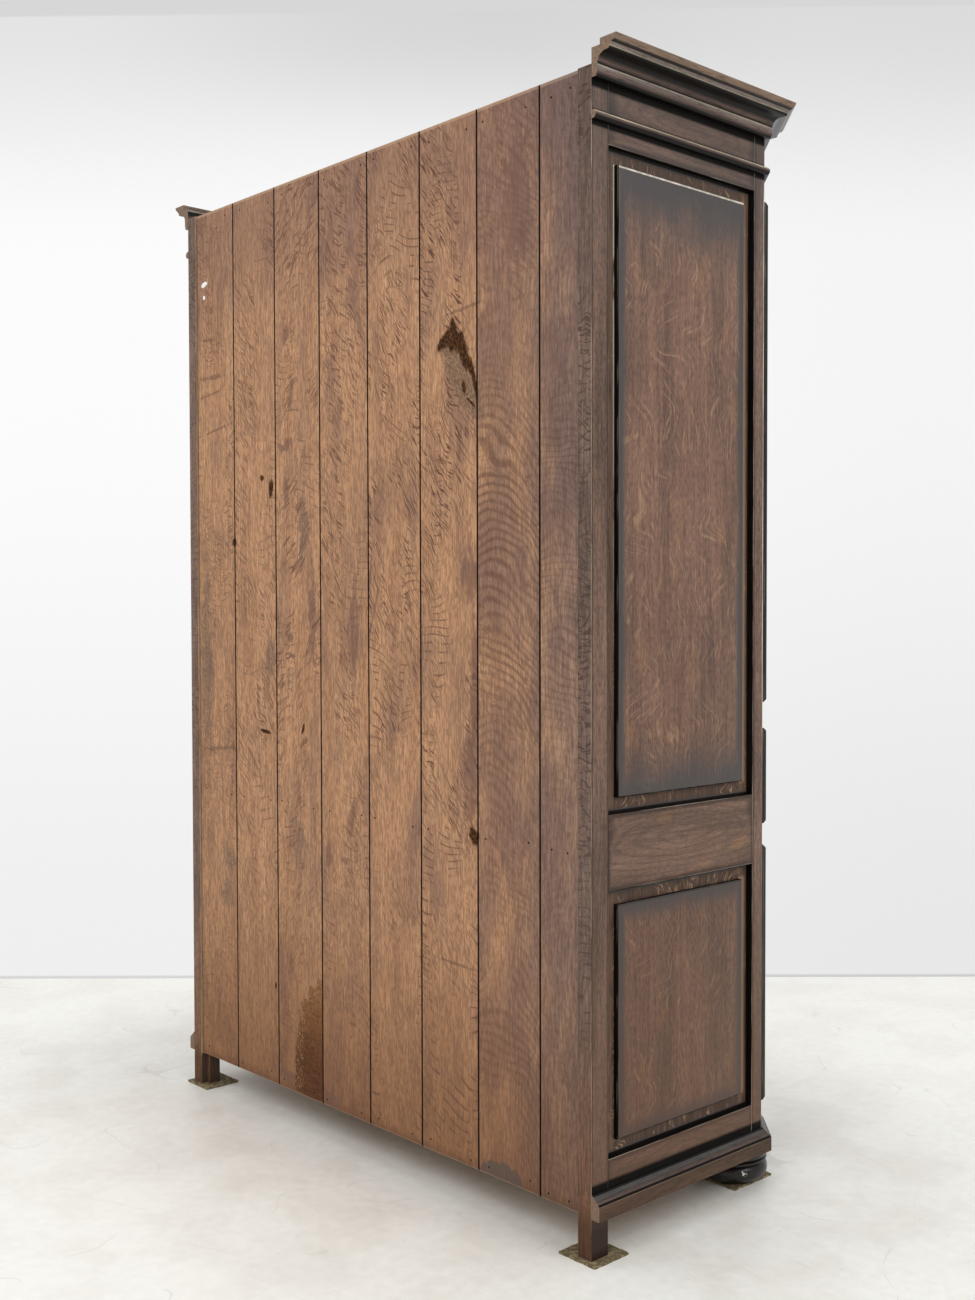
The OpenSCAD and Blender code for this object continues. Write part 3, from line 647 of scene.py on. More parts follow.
print("marks on the back:", sum(map(len, (GREY_PATCHES, BARK_MARKS, THIN_MARKS, SMOKE_MARKS, PURPLE_MARKS,
                                          DAMP_MARKS, CHALK_MARKS))))

# %% [markdown]
# ## The bare oak finish
#
# One function makes the finish of the boards and of the backs of the posts, because both are bare oak that
# has aged side by side. The posts are greyer, denser in figure and sharper in contrast, and carry no marks.
# Each board says in its attributes "figure" and "lean" how strongly it shows each kind of figure.

# %% Bare oak
def bare_oak(name, tan=TAN, red=TAN_RED, grey=PURPLE_GREY, dark=FLECK_BROWN, marks=False, dense=0.0,
             contrast=1.0):
    """Bare oak of the back. With marks it is the boards', whose joints are black grooves."""
    finish = Finish(name)
    place = grain_of(finish)
    where = in_object(finish)
    height = part(where, "Z")
    amounts = own(finish, "figure", "Vector")
    stained, flecked, rippled = (part(amounts, axis) for axis in "XYZ")
    fine, pores = streaks(place)
    colour = paint(tan, red, rise(cloud(place, (20, 20, 2.2), 1.2), 0.28, 0.85) * 0.8)
    slow = cloud(bent(place, (0.05, 0.05, 0.05), (14, 14, 9)), (14, 14, 4.5), 2.0)
    colour = paint(colour, grey, rise(slow + stained * 0.34, 0.56, 0.96) * 0.72)
    colour = paint(colour, LOW_RED, rise(height, *REDDER_DOWN) * 0.72)
    colour = paint(colour, grey, rise(height, *GREYER_UP) * 0.50)
    colour = paint(colour, LEG_BROWN, rise(height, FLOOR_GAP + 0.03, FLOOR_GAP - 0.02))
    colour = shade(colour, 1 - contrast / 2 + fine * contrast)
    across = part(own(finish, "near", "Vector"), "X") - BOARD_MIDDLE
    bow = part(place, "Z") + across * across * 5.2
    ripple = waves(bow * (84 - rippled * 36) + cloud(place, (6, 6, 6), 1.5) * 8)
    arched = rise(height, *RIPPLED_FROM) * rise(height, *RIPPLED_TO)
    ripple = rise(ripple, 0.50 - rippled * 0.8, 0.98) * rippled
    ripple = ripple * (0.12 + zone(place, (12, 12, 6), 0.42, 0.62) * 0.45 + arched * 0.5)
    flecks = blots(place, own(finish, "lean"), 0.555 - dense * 0.06) * zone(place) * flecked
    flecks = flecks * (rise(height, *LIVELIER_UP) * 0.65 + 0.35)
    arcs = bunches(place, 15, 55) * zone(place, (9, 9, 3.4), 0.5, 0.62) * flecked
    colour = paint(colour, dark, ripple * 0.55)
    colour = paint(colour, dark, most(flecks, arcs * 0.7))
    colour = paint(colour, dark, most(pores * 0.35, open_pores(place) * 0.36))
    bump = fine * 0.5 - pores * 0.4 - flecks * 0.3
    if marks:
        colour, bump = add_marks(where, colour, bump)
        colour = paint(colour, JOINT_BLACK, own(finish, "arris"))
    else:
        colour = paint(colour, PALE_ARRIS, own(finish, "arris") * rise(fine, 0.4, 0.6) * 0.5)
    colour = paint(colour, PALE_ARRIS, own(finish, "end") * 0.7)
    # Painted shade: darker and more purple towards the post on the left, where the light falls off.
    shade_to_the_left = rise(part(where, "X"), *SHADED_LEFT)
    kept = point(*(1 - shade_to_the_left * loss for loss in (BOARDS_SHADE_LOSS if marks else POSTS_SHADE_LOSS)))
    colour = blend(1.0, colour, kept, "MULTIPLY")
    return finish.surface(Base_Color=colour, Roughness=0.66 + fine * 0.15, Specular_IOR_Level=0.12,
                          Normal=relief(bump, 0.0006, 0.5))


boards_finish = bare_oak("bare_oak_boards", marks=True)
post_back_finish = bare_oak("bare_oak_post_back", tan=(0.275, 0.185, 0.146), red=(0.21, 0.130, 0.098),
                            grey=(0.145, 0.102, 0.084), dark=(0.080, 0.051, 0.040), dense=0.20, contrast=1.5)
print("bare oak:", boards_finish.name, post_back_finish.name)

# %% [markdown]
# ## Stained and rubbed oak
#
# The show wood was stained nearly black and then rubbed back, so the stain is thin and reddish in the
# middle of each rail and panel and stays black along its edges. Distance to the nearest edge drives that
# change. The arrises are worn to a lighter line by hands and dusters, and the flecks took less stain than
# the wood. Down the outer arris of each front corner post and along the top of each upper field, a pale
# line is a painted highlight where the rubbed arris catches the light.
#
# Black also stays in the corners under the mouldings, where no rag reaches, and shade falls there too, so
# the black painted in those corners is stain and painted shade at once. The mouldings run level all round,
# so those corners are bands of height. Behind the cornice the wood was never stained at all.

# %% Colours of the stain and where it changes
STAIN_RED = (0.208, 0.125, 0.092)
STAIN_BROWN = (0.115, 0.072, 0.054)
STAIN_BLACK = (0.014, 0.010, 0.009)
CHARCOAL = (0.069, 0.064, 0.064)
LOW_BROWN = (0.108, 0.050, 0.023)
LEG_BLACK = (0.020, 0.009, 0.006)
AMBER = (0.40, 0.215, 0.095)
PALE_RAY = (0.46, 0.285, 0.175)
WORN = (0.58, 0.50, 0.41)
RUBBED_HIGHLIGHT = (0.74, 0.69, 0.60)
# Near black: the stain in the recesses, and also painted shade in the corners under the mouldings.
BLACK_STAIN_AND_SHADE = (0.004, 0.003, 0.002)
DUSTY_OAK = (0.25, 0.175, 0.115)
CORNICE_FOOT = 2.082
BEAD_FOOT = 2.0115
BEAD_TOP = 2.0275
PLINTH_TOP = 0.125
UPPER_PANELS_FROM = 0.78
DARKER_DOWN = (1.30, 0.70)
CHARCOAL_SHEEN_UP = (1.65, 2.04)
BROWNER_DOWN = (0.85, 0.12)
CORNER_HIGHLIGHT_UP = (0.70, 1.10)
TOP_LINE_UP = (1.85, 1.90)
RAIL_HALF_LENGTH = 0.34
RAIL_HALF_WIDTH = 0.075


def edge_distances(finish, hidden_across, hidden_along):
    """Metres to the sides, the bottom and the top of the plank's face, less what is hidden."""
    near, far = own(finish, "near", "Vector"), own(finish, "far", "Vector")
    sides = least(part(near, "X"), part(far, "X")) - hidden_across
    return sides, part(near, "Z") - hidden_along, part(far, "Z") - hidden_along


def below_top(height):
    """1 where the frame can be seen, 0 behind the cornice, where it was never stained."""
    return rise(height, CORNICE_FOOT + 0.012, CORNICE_FOOT + 0.006)


def corner_stain_and_shade(height):
    """Painted shade and the stain left there: black in the corners under the cornice, round the bead and
    above the plinth.
    """
    under_cornice = rise(height, CORNICE_FOOT - 0.017, CORNICE_FOOT - 0.011) * below_top(height)
    over_bead = rise(height, BEAD_TOP + 0.006, BEAD_TOP + 0.001) * rise(height, BEAD_FOOT, BEAD_TOP)
    under_bead = rise(height, BEAD_FOOT - 0.012, BEAD_FOOT - 0.007) * rise(height, BEAD_TOP, BEAD_FOOT)
    over_plinth = rise(height, PLINTH_TOP + 0.019, PLINTH_TOP + 0.011) * rise(height, 0.10, PLINTH_TOP)
    return most(most(under_cornice, over_bead), most(under_bead, over_plinth))


def cathedral(finish, place):
    """Growth rings cut lengthwise: long ovals about a point low in the middle of a rail."""
    near, far = own(finish, "near", "Vector"), own(finish, "far", "Vector")
    along = (part(near, "Z") - part(far, "Z")) / RAIL_HALF_LENGTH
    across = (part(near, "X") - part(far, "X")) / RAIL_HALF_WIDTH + 0.35
    reach = (along * along + across * across) ** 0.5
    return waves(reach * 3.2 + cloud(place, (16, 16, 5), 2.0) * 2.4)


CORNER_OUT = abs(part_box("left_corner_post")[0].x)
CORNER_ARRIS = min(vert.co.y for vert in frame["nodes"]["left_corner_post"].data.vertices
                   if vert.co.x < 0.0001 - CORNER_OUT)


def corner_highlight(where, height):
    """A painted highlight down the rubbed outer arris of each front corner post."""
    beside = rise(part(where, "Y"), CORNER_ARRIS + 0.0034, CORNER_ARRIS + 0.0020)
    outside = rise(abs(part(where, "X")), CORNER_OUT - 0.0030, CORNER_OUT - 0.0015)
    return beside * outside * rise(height, *CORNER_HIGHLIGHT_UP) * rise(height, BEAD_FOOT, BEAD_FOOT - 0.05)


print("outer arris of the front corners:", round(CORNER_OUT, 4), round(CORNER_ARRIS, 4))

# %% [markdown]
# ## The stained finish
#
# One function serves frame, rails and fields, and its arguments say how they differ: how much of the plank
# its neighbours hide, how far the black reaches in from the sides, the bottom and the top, and how much
# figure and amber shows. The colour is built as the wood was: first the ground and its rings, then the
# rays, then the black that the rag left, then a painted sheen towards the top and painted shade in the
# corners, and last the wear and the painted highlights on rubbed arrises.

# %% Stained oak
def stained_oak(name, middle=STAIN_RED, dark=STAIN_BROWN, edge=STAIN_BLACK, hidden=(0.0, 0.0),
                reach=(0.014, 0.03, 0.03), black=0.8, flecks=0.35, rings=0.0, gloss=0.40, worn=0.6,
                amber=0.0, top_line=False, legs=False, coarse=1.0, low_shade=0.0):
    """Stain rubbed thin. legs is for wood that goes down to the floor, and top_line for a raised field."""
    finish = Finish(name)
    place = grain_of(finish)
    where = in_object(finish)
    height = part(where, "Z")
    fine, pores = streaks(place, 1.25)
    colour = paint(middle, dark, rise(cloud(place, (26, 26, 3.2), 1.2), 0.32, 0.78))
    colour = shade(colour, 1 - 0.55 * coarse + fine * (1.1 * coarse))
    colour = shade(colour, 0.89 + cloud(place, (26, 26, 210), 1.0) * 0.22)
    if rings:
        colour = paint(colour, dark, rise(cathedral(finish, place), 0.1, 1.0) * rings)
    if amber:
        patches = rise(cloud(place, (20, 20, 9), 3.0), 0.58, 0.74)
        colour = paint(colour, AMBER, patches * fine * amber)
    rays = curls(place) * zone(place, (14, 14, 8), 0.34, 0.52)
    colour = paint(colour, PALE_RAY, rays * flecks)
    colour = paint(colour, STAIN_BLACK, most(pores * 0.20, open_pores(place) * 0.32) * coarse)
    sides, bottom, top = edge_distances(finish, *hidden)
    colour = shade(colour, 0.78 + cloud(place, (170, 170, 7), 0.0) * 0.44)
    colour = shade(colour, 1 - rise(height, *DARKER_DOWN) * rise(height, 0.0, DARKER_DOWN[1]) * low_shade)
    wander = (cloud(place, (13, 13, 6), 2.0) - 0.5) * 0.9
    higher = rise(height, UPPER_PANELS_FROM - 0.05, UPPER_PANELS_FROM) * 0.66 + 0.34
    near_edge = most(rise(sides / reach[0] + wander * 0.4, 1.0, 0.35),
                     most(rise(bottom / (higher * reach[1]) + wander, 1.0, 0.0),
                          rise(top / (higher * reach[2]) + wander, 1.0, 0.1)))
    colour = paint(colour, edge, near_edge * black)
    # Painted sheen: towards the top a charcoal grey stands for the pale room reflected in the dark stain.
    colour = paint(colour, CHARCOAL, rise(height, *CHARCOAL_SHEEN_UP) * 0.42)
    colour = paint(colour, LOW_BROWN, rise(height, *BROWNER_DOWN) * 0.50)
    # Painted shade with the stain left there: black in the corners under and over the mouldings.
    stain_and_shade = corner_stain_and_shade(height)
    colour = paint(colour, BLACK_STAIN_AND_SHADE, stain_and_shade)
    touched = rise(cloud(place, (60, 60, 8), 2.0), 0.44, 0.58)
    if legs:
        colour = paint(colour, LEG_BLACK, rise(height, FLOOR_GAP + 0.02, FLOOR_GAP - 0.03) * 0.9)
        # Painted highlight down the outer arris of the front corner posts.
        colour = paint(colour, RUBBED_HIGHLIGHT, corner_highlight(where, height) * (0.35 + touched * 0.35))
    colour = paint(colour, WORN, own(finish, "arris") * touched * worn)
    colour = paint(colour, STAIN_BLACK, own(finish, "end") * 0.7)
    # Painted highlight: a pale line on the rubbed top arris of an upper field, lit from above.
    if top_line:
        rubbed = rise(top, 0.0050, 0.0036) * rise(height, *TOP_LINE_UP)
        colour = paint(colour, RUBBED_HIGHLIGHT, rubbed * (0.62 + touched * 0.3))
    return finish.surface(Base_Color=colour, Roughness=gloss + wander * 0.08 + pores * 0.1 + stain_and_shade * 0.3,
                          Specular_IOR_Level=0.12, Coat_Weight=(1 - stain_and_shade) * 0.18, Coat_Roughness=0.32,
                          Normal=relief(fine * 0.5 - pores * 0.6, 0.0003, 0.4))


frame_finish = stained_oak("stained_oak_frame", reach=(0.006, 0.02, 0.02), black=0.6, flecks=0.12, legs=True)
rail_finish = stained_oak("stained_oak_rail", hidden=(0.0, 0.02), reach=(0.011, 0.03, 0.03), rings=0.55,
                          black=0.65, flecks=0.10, amber=0.7, coarse=0.62)
print("stained oak:", frame_finish.name, rail_finish.name)

# %% [markdown]
# ## Black in the recesses
#
# Blocks, bun feet and the edges round a panel are nearly black all over, so they need no distance to an
# edge. A post is one solid whose edge is black outside the panel and bare inside it. One face runs through
# both, so the place decides: the stain stops where the panel's border begins.

# %% Plain dark stain
CHIPPED = Vector((-0.648, -0.168, 0.029))
BARE_CHIP = (0.72, 0.66, 0.58)
BARE_OAK = (0.40, 0.255, 0.145)
FIELD_RISE = 0.010


def plain_stain(name, colour, gloss=0.4, worn=0.5, shine=0.4, chips=False, bare_behind=None):
    """A nearly even dark stain, as in a recess or on a turned foot. One foot has lost a few chips of it.
    bare_behind is an axis and how far out the stain starts on it: the wood behind that is bare."""
    finish = Finish(name)
    place = grain_of(finish)
    fine, pores = streaks(place)
    mottle = cloud(place, (40, 40, 6), 3.0)
    where = in_object(finish)
    height = part(where, "Z")
    tinted = paint(colour, STAIN_BLACK, rise(mottle, 0.4, 0.75) * 0.5)
    tinted = shade(paint(DUSTY_OAK, tinted, below_top(height)), 0.5 + fine)
    touched = rise(cloud(place, (70, 70, 10), 2.0), 0.48, 0.60)
    tinted = paint(tinted, WORN, most(own(finish, "arris"), own(finish, "end")) * touched * worn)
    if bare_behind:
        axis, border = bare_behind
        bare = paint(BARE_OAK, LEG_BLACK, rise(height, FLOOR_GAP + 0.004, FLOOR_GAP - 0.006) * 0.9)
        hidden = rise(abs(part(where, axis)), border + 0.0005, border - 0.0005)
        tinted = paint(tinted, shade(bare, 0.6 + fine * 0.8), hidden)
    if chips:
        gap = finish.node("VectorMath", {0: where, 1: CHIPPED}, output="Value", operation="DISTANCE")
        flaked = rise(cloud(where, (150, 150, 150), 2.0) - gap * 20, 0.47, 0.49)
        tinted = paint(tinted, BARE_CHIP, flaked)
    return finish.surface(Base_Color=tinted, Roughness=gloss + mottle * 0.15, Specular_IOR_Level=shine,
                          Normal=relief(mottle - pores * 0.5, 0.0002, 0.4))


side_border = abs(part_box("left_upper_panel")[0].x) - FIELD_RISE
door_border = abs(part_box("left_door_upper_panel")[0].y) - FIELD_RISE
recess_finish = plain_stain("stained_recess", BLACK_STAIN_AND_SHADE, gloss=0.6, worn=0.2, shine=0.08,
                            bare_behind=("X", side_border))
door_recess_finish = plain_stain("stained_door_recess", BLACK_STAIN_AND_SHADE, gloss=0.6, worn=0.2, shine=0.08,
                                 bare_behind=("Y", door_border))
black_finish = plain_stain("black_oak", (0.010, 0.008, 0.007), gloss=0.22, worn=0.16, chips=True)
print("black stain:", recess_finish.name, door_recess_finish.name, black_finish.name)

# %% [markdown]
# ## Mouldings
#
# A moulding's light and shade are painted into its colour: its hollows and undercuts are painted black, for
# the shade that falls there and the black stain that stays there, and its fillets and the top of the bead
# are painted pale, as rubbed wood that catches the light.
# Each is a run of level bands, so a list of heights with a shade at each paints all its sides alike. The
# colour ramp reads the height within the moulding, from 0 at its foot to 1 at its top. The front cornice
# has the same bands and more gloss, because a pale reflection of the room lies on its slope where the view
# just meets it.

# %% Moulding finish
SHADES = {"black": (0.007, 0.005, 0.004), "dark": (0.078, 0.055, 0.047), "brown": (0.150, 0.098, 0.082),
          "tan": (0.275, 0.188, 0.133), "grey": (0.250, 0.205, 0.180), "slate": (0.090, 0.083, 0.080),
          "worn": (0.52, 0.44, 0.33), "saturated": (0.105, 0.058, 0.034)}
# In these bands, black is painted shade with the stain in it, and worn is a painted highlight on rubbed wood.
CORNICE_BANDS = ((0.0, "black"), (0.05, "black"), (0.09, "dark"), (0.14, "brown"), (0.28, "grey"),
                 (0.318, "worn"), (0.330, "black"), (0.355, "black"), (0.38, "dark"), (0.45, "brown"),
                 (0.54, "black"), (0.690, "black"), (0.700, "worn"), (0.725, "grey"), (0.785, "grey"),
                 (0.80, "black"), (0.838, "dark"), (0.85, "tan"), (0.98, "tan"), (1.0, "grey"))
BEAD_BANDS = ((0.0, "black"), (0.30, "black"), (0.45, "dark"), (0.58, "brown"), (0.66, "brown"),
              (0.72, "worn"), (1.0, "worn"))
PLINTH_BANDS = ((0.0, "saturated"), (0.58, "saturated"), (0.612, "tan"), (0.622, "black"), (0.695, "black"),
                (0.715, "brown"), (0.80, "dark"), (0.84, "slate"), (0.93, "slate"), (0.95, "black"),
                (1.0, "black"))
CORNICE_TOP = CORNICE_FOOT + 0.062
END_GRAIN = (0.26, 0.170, 0.112)
END_GRAIN_DARK = (0.15, 0.095, 0.062)


def moulding(name, foot, top, bands, gloss=0.32, shine=0.18):
    """Painted light and shade in bands up a moulding, and pale wood where its end is sawn."""
    finish = Finish(name)
    place = grain_of(finish)
    level = (part(in_object(finish), "Z") - foot) / (top - foot)
    fine, pores = streaks(place, 1.3)
    ramp = finish.node("ValToRGB", {0: level})
    stops = ramp.socket.node.color_ramp.elements
    while len(stops) < len(bands):
        stops.new(1.0)
    for stop, (position, name_of_shade) in zip(stops, bands):
        stop.position = position
        stop.color = (*SHADES[name_of_shade], 1)
    mottle = cloud(place, (26, 26, 5), 3.0)
    colour = shade(ramp, (0.45 + fine * 0.7) * (0.55 + mottle * 0.9))
    colour = paint(colour, SHADES["black"], pores * 0.4)
    rings_cut = rise(cloud(place, (420, 420, 160), 2.0), 0.40, 0.62)
    colour = paint(colour, paint(END_GRAIN, END_GRAIN_DARK, rings_cut), own(finish, "cut"))
    return finish.surface(Base_Color=colour, Roughness=gloss + mottle * 0.15, Specular_IOR_Level=shine,
                          Normal=relief(fine * 0.5 + mottle, 0.0003, 0.4))


cornice_finish = moulding("moulding_cornice", CORNICE_FOOT, CORNICE_TOP, CORNICE_BANDS)
front_cornice_finish = moulding("moulding_cornice_front", CORNICE_FOOT, CORNICE_TOP, CORNICE_BANDS,
                                gloss=0.20, shine=0.55)
bead_finish = moulding("moulding_bead", BEAD_FOOT, BEAD_TOP, BEAD_BANDS)
plinth_finish = moulding("moulding_plinth", FLOOR_GAP, PLINTH_TOP, PLINTH_BANDS)
print("mouldings:", cornice_finish.name, front_cornice_finish.name, bead_finish.name, plinth_finish.name)

# %% [markdown]
# ## Panel finish
#
# A raised panel is one board: a thin border in the grooves of the frame and a raised field in the middle.
# The border is brown with short pale flecks, with painted shade black along both edges where it meets the
# frame. The field darkens to charcoal towards its edges, most at the top, and its rubbed top arris has a
# painted highlight, a pale line.
#
# On the border, every change runs beside an edge, so each is a soft step in metres from that edge.
# The strip in front of the field is painted paler, where the light reaches into the recess, and towards
# the front frame it darkens with the painted shade of the corner post and with dirt. Behind the field a
# painted highlight shows as a pale line.

# %% Fields and margins
FIELD_INSET = 0.0368
GROOVE_DEPTH = 0.0088
MARGIN_BROWN = (0.098, 0.059, 0.043)
MARGIN_DARK = (0.085, 0.052, 0.036)
MARGIN_GOLD = (0.18, 0.108, 0.068)
FRONT_GOLD = (0.33, 0.205, 0.130)
SQUIGGLE = (0.38, 0.245, 0.145)
CLEAR_OF_ENDS = (0.020, 0.030)
DULLER_UP = (1.70, 1.98)
DARKER_UP = (1.65, 1.98)
REAR_LINE_UP = (0.9, 1.85)


def between(value, outer_low, inner_low, inner_high, outer_high):
    """1 from the inner low to the inner high value, and 0 beyond the outer ones."""
    return rise(value, outer_low, inner_low) * rise(value, outer_high, inner_high)


def panel_margin(name):
    """The flat border: golden next to the field, black next to the frame, with short pale rays."""
    finish = Finish(name)
    place = grain_of(finish)
    height = part(in_object(finish), "Z")
    fine, pores = streaks(place, 0.9)
    sides, bottom, top = edge_distances(finish, GROOVE_DEPTH, GROOVE_DEPTH)
    front = part(own(finish, "near", "Vector"), "X") - GROOVE_DEPTH
    rear = part(own(finish, "far", "Vector"), "X")
    at_ends = least(bottom, top)
    colour = paint(MARGIN_BROWN, MARGIN_DARK, rise(cloud(place, (28, 28, 5), 3.0), 0.36, 0.66))
    colour = shade(colour, 0.3 + fine * 1.4)
    # Painted light: golden where the light reaches the border, away from the frame and in front of the field.
    upright = rise(sides, 0.0270, 0.0255)
    colour = paint(colour, MARGIN_GOLD, upright * rise(sides, 0.010, 0.020) * rise(fine, 0.25, 0.55) * 0.5)
    lit_edge = between(front, 0.0205, 0.0235, 0.0275, 0.0285) * rise(at_ends, *CLEAR_OF_ENDS)
    colour = paint(colour, AMBER, lit_edge * rise(cloud(place, (22, 22, 7), 2.0), 0.34, 0.50) * 0.5)
    strip = between(front, 0.0070, 0.0140, 0.0280, 0.0300) * rise(at_ends, *CLEAR_OF_ENDS)
    colour = paint(colour, FRONT_GOLD, strip * (1 - rise(height, *DULLER_UP) * 0.6) * 0.7)
    rays = rise(cloud(bent(place, (0.07, 0.0, 0.02), (24, 24, 30)), (280, 280, 48), 1.0), 0.57, 0.68)
    rays = rays * zone(place, (24, 24, 10), 0.42, 0.56)
    colour = paint(colour, SQUIGGLE, rays * (1 - upright * 0.7) * 0.8)
    wander = (cloud(place, (40, 40, 12), 2.0) - 0.5) * 0.006
    # Charcoal towards the ends; black where the border meets the frame is painted shade, in front with dirt.
    colour = paint(colour, CHARCOAL, rise(at_ends + wander, 0.0105, 0.0055) * 0.8)
    colour = paint(colour, SHADES["black"], rise(least(at_ends - 0.0012, sides), 0.0042, 0.0030))
    colour = paint(colour, SHADES["black"], rise(front + wander * 0.5, 0.0060, 0.0010) * 0.85)
    colour = paint(colour, CHARCOAL, rise(height, *DARKER_UP) * rise(front, 0.0300, 0.0400) * 0.25)
    # Painted highlight: a pale line on the border at the field's rear edge, where it catches the light.
    line = between(rear, FIELD_INSET - 0.0034, FIELD_INSET - 0.0026, FIELD_INSET, FIELD_INSET + 0.0008)
    line = line * rise(height, *REAR_LINE_UP) * rise(at_ends, 0.0260, 0.0275)
    colour = paint(colour, RUBBED_HIGHLIGHT, line * rise(cloud(place, (30, 30, 9), 2.0), 0.34, 0.46) * 0.72)
    return finish.surface(Base_Color=colour, Roughness=0.45 + pores * 0.1, Specular_IOR_Level=0.15,
                          Normal=relief(fine * 0.5 - pores * 0.6, 0.0003, 0.4))


field_finish = stained_oak("stained_oak_field", middle=(0.230, 0.130, 0.093), dark=(0.156, 0.093, 0.071),
                           edge=CHARCOAL, hidden=(FIELD_INSET, FIELD_INSET), reach=(0.028, 0.105, 0.14),
                           black=0.95, flecks=0.42, amber=0.55, gloss=0.44, worn=0.2, top_line=True,
                           coarse=0.85, low_shade=0.18)
margin_finish = panel_margin("stained_oak_margin")
print("panels:", field_finish.name, margin_finish.name)

# %% [markdown]
# ## Plain finishes
#
# The inside is clean bare oak. Hinges, locks and keys are steel gone brown, the key plates and rod sockets
# are brass with tarnish in it, and the pads are olive felt. The metals share one function, because both age
# in patches: where the tarnish lies, the colour is dull and the surface rougher.

# %% Inside oak, metal and felt
INNER_OAK = (0.46, 0.30, 0.175)
INNER_OAK_DARK = (0.36, 0.215, 0.12)
INNER_RAY = (0.55, 0.38, 0.24)
OLIVE_DARK = (0.125, 0.095, 0.047)
OLIVE_WORN = (0.30, 0.236, 0.128)


def inner_oak(name):
    """Clean oak with pale rays, black below the floor board where the legs were stained all round."""
    finish = Finish(name)
    place = grain_of(finish)
    fine, pores = streaks(place)
    colour = paint(INNER_OAK, INNER_OAK_DARK, rise(cloud(place, (20, 20, 1.0), 3.0), 0.35, 0.7))
    colour = shade(colour, 0.6 + fine * 0.8)
    colour = paint(colour, FLECK_BROWN, pores * 0.4)
    colour = paint(colour, INNER_RAY, bunches(place, 55, 12) * 0.4)
    below_floor = rise(part(in_object(finish), "Z"), FLOOR_GAP + 0.004, FLOOR_GAP - 0.006)
    colour = paint(colour, LEG_BLACK, below_floor * 0.9)
    return finish.surface(Base_Color=colour, Roughness=0.62 + fine * 0.1,
                          Normal=relief(fine - pores, 0.0003, 0.4))


def aged_metal(name, bright, dull, roughness):
    """A metal that is bright in places and dull and rougher where it has tarnished."""
    finish = Finish(name)
    where = in_object(finish)
    tarnish = rise(cloud(where, (90, 90, 90), 4.0), 0.42, 0.62)
    scratches = cloud(where, (900, 900, 60), 2.0)
    colour = paint(bright, dull, tarnish)
    return finish.surface(Base_Color=colour, Metallic=1.0 - tarnish * 0.25,
                          Roughness=roughness + tarnish * 0.25 + scratches * 0.1,
                          Normal=relief(scratches, 0.0001, 0.3))


def felt(name):
    """Matted fibres, paler where the pad is worn."""
    finish = Finish(name)
    where = in_object(finish)
    fibres = cloud(where, (520, 520, 520), 4.0)
    worn = rise(cloud(where, (130, 130, 130), 4.0), 0.40, 0.66)
    colour = shade(paint(OLIVE_DARK, OLIVE_WORN, worn), 0.25 + fibres * 1.5)
    return finish.surface(Base_Color=colour, Roughness=0.95, Normal=relief(fibres, 0.001, 0.9))


inside_finish = inner_oak("inner_oak")
steel_finish = aged_metal("aged_steel", (0.23, 0.215, 0.20), (0.085, 0.060, 0.043), 0.38)
brass_finish = aged_metal("aged_brass", (0.66, 0.48, 0.20), (0.20, 0.13, 0.055), 0.28)
felt_finish = felt("olive_felt")
print("plain finishes:", inside_finish.name, steel_finish.name, brass_finish.name, felt_finish.name)

# %% [markdown]
# ## The carcass
#
# Each post shows a stained side, a bare back or inside, and a black edge towards the panel. Rails are black
# on their long edges. The side of a face is given by its direction, so the same few lines serve both sides.
#
# The eight back boards differ as real boards do. For each, a table says how stained, flecked and rippled it
# is, and how steeply its flecks lean.

# %% Dress the carcass
LEFT = Vector((-1, 0, 0))
RIGHT = Vector((1, 0, 0))
FRONT = Vector((0, -1, 0))
BACK = Vector((0, 1, 0))
UP = Vector((0, 0, 1))
DOWN = Vector((0, 0, -1))
JOINT_WIDTH = 0.0021
for side, out in (("left", LEFT), ("right", RIGHT)):
    inwards = (-out, 2)
    slanted_in = (BACK - out, 2)
    dress(side + "_rear_post", [frame_finish, recess_finish, inside_finish, post_back_finish],
          [(FRONT, 1), inwards, (BACK, 3)], figure=(0.6, 0.75, 0.4), lean=2.5)
    dress(side + "_corner_post", [frame_finish, recess_finish, inside_finish],
          [(BACK, 1), inwards, slanted_in])
    dress(side + "_side_rails", [rail_finish, recess_finish, inside_finish], [(UP, 1), (DOWN, 1), inwards])
    for level in ("upper", "lower"):
        dress(f"{side}_{level}_panel", [recess_finish, margin_finish, inside_finish], [(out, 1), inwards],
              width=0.0006)
for piece in ("front_top_rail", "front_bottom_rail"):
    dress(piece, [rail_finish, inside_finish], [(BACK, 1)])
dress("centre_stile", [frame_finish, inside_finish], [(BACK, 1)])
for side in ("left_", "right_", "front_"):
    dress(side + "cornice", [front_cornice_finish if side == "front_" else cornice_finish], width=0.0005)
    dress(side + "plinth", [plinth_finish], width=0.0005)
dress("bead_moulding", [bead_finish], width=0)
for piece in ("corner_blocks", "centre_blocks", "bun_feet"):
    dress(piece, [black_finish], width=0.001)
for piece in ("back_rails", "floor_board", "roof_board", "foot_blocks", "hat_shelf", "shelf_cleats",
              "hanging_rod"):
    dress(piece, [inside_finish])
BOARD_FIGURES = (
    ((0.95, 0.15, 0.55), 0.0), ((1.00, 0.35, 1.00), -0.8), ((0.45, 1.00, 0.00), -1.2),
    ((0.30, 0.95, 0.00), -1.4), ((0.50, 0.70, 0.00), -1.0), ((0.35, 0.70, 0.00), 0.9),
    ((0.20, 0.65, 0.00), -1.2), ((0.40, 0.50, 0.00), -0.5))
for number, (figure, lean) in enumerate(BOARD_FIGURES, 1):
    dress(f"back_board_{number}", [boards_finish, inside_finish], [(FRONT, 1)], width=JOINT_WIDTH,
          figure=figure, lean=lean)
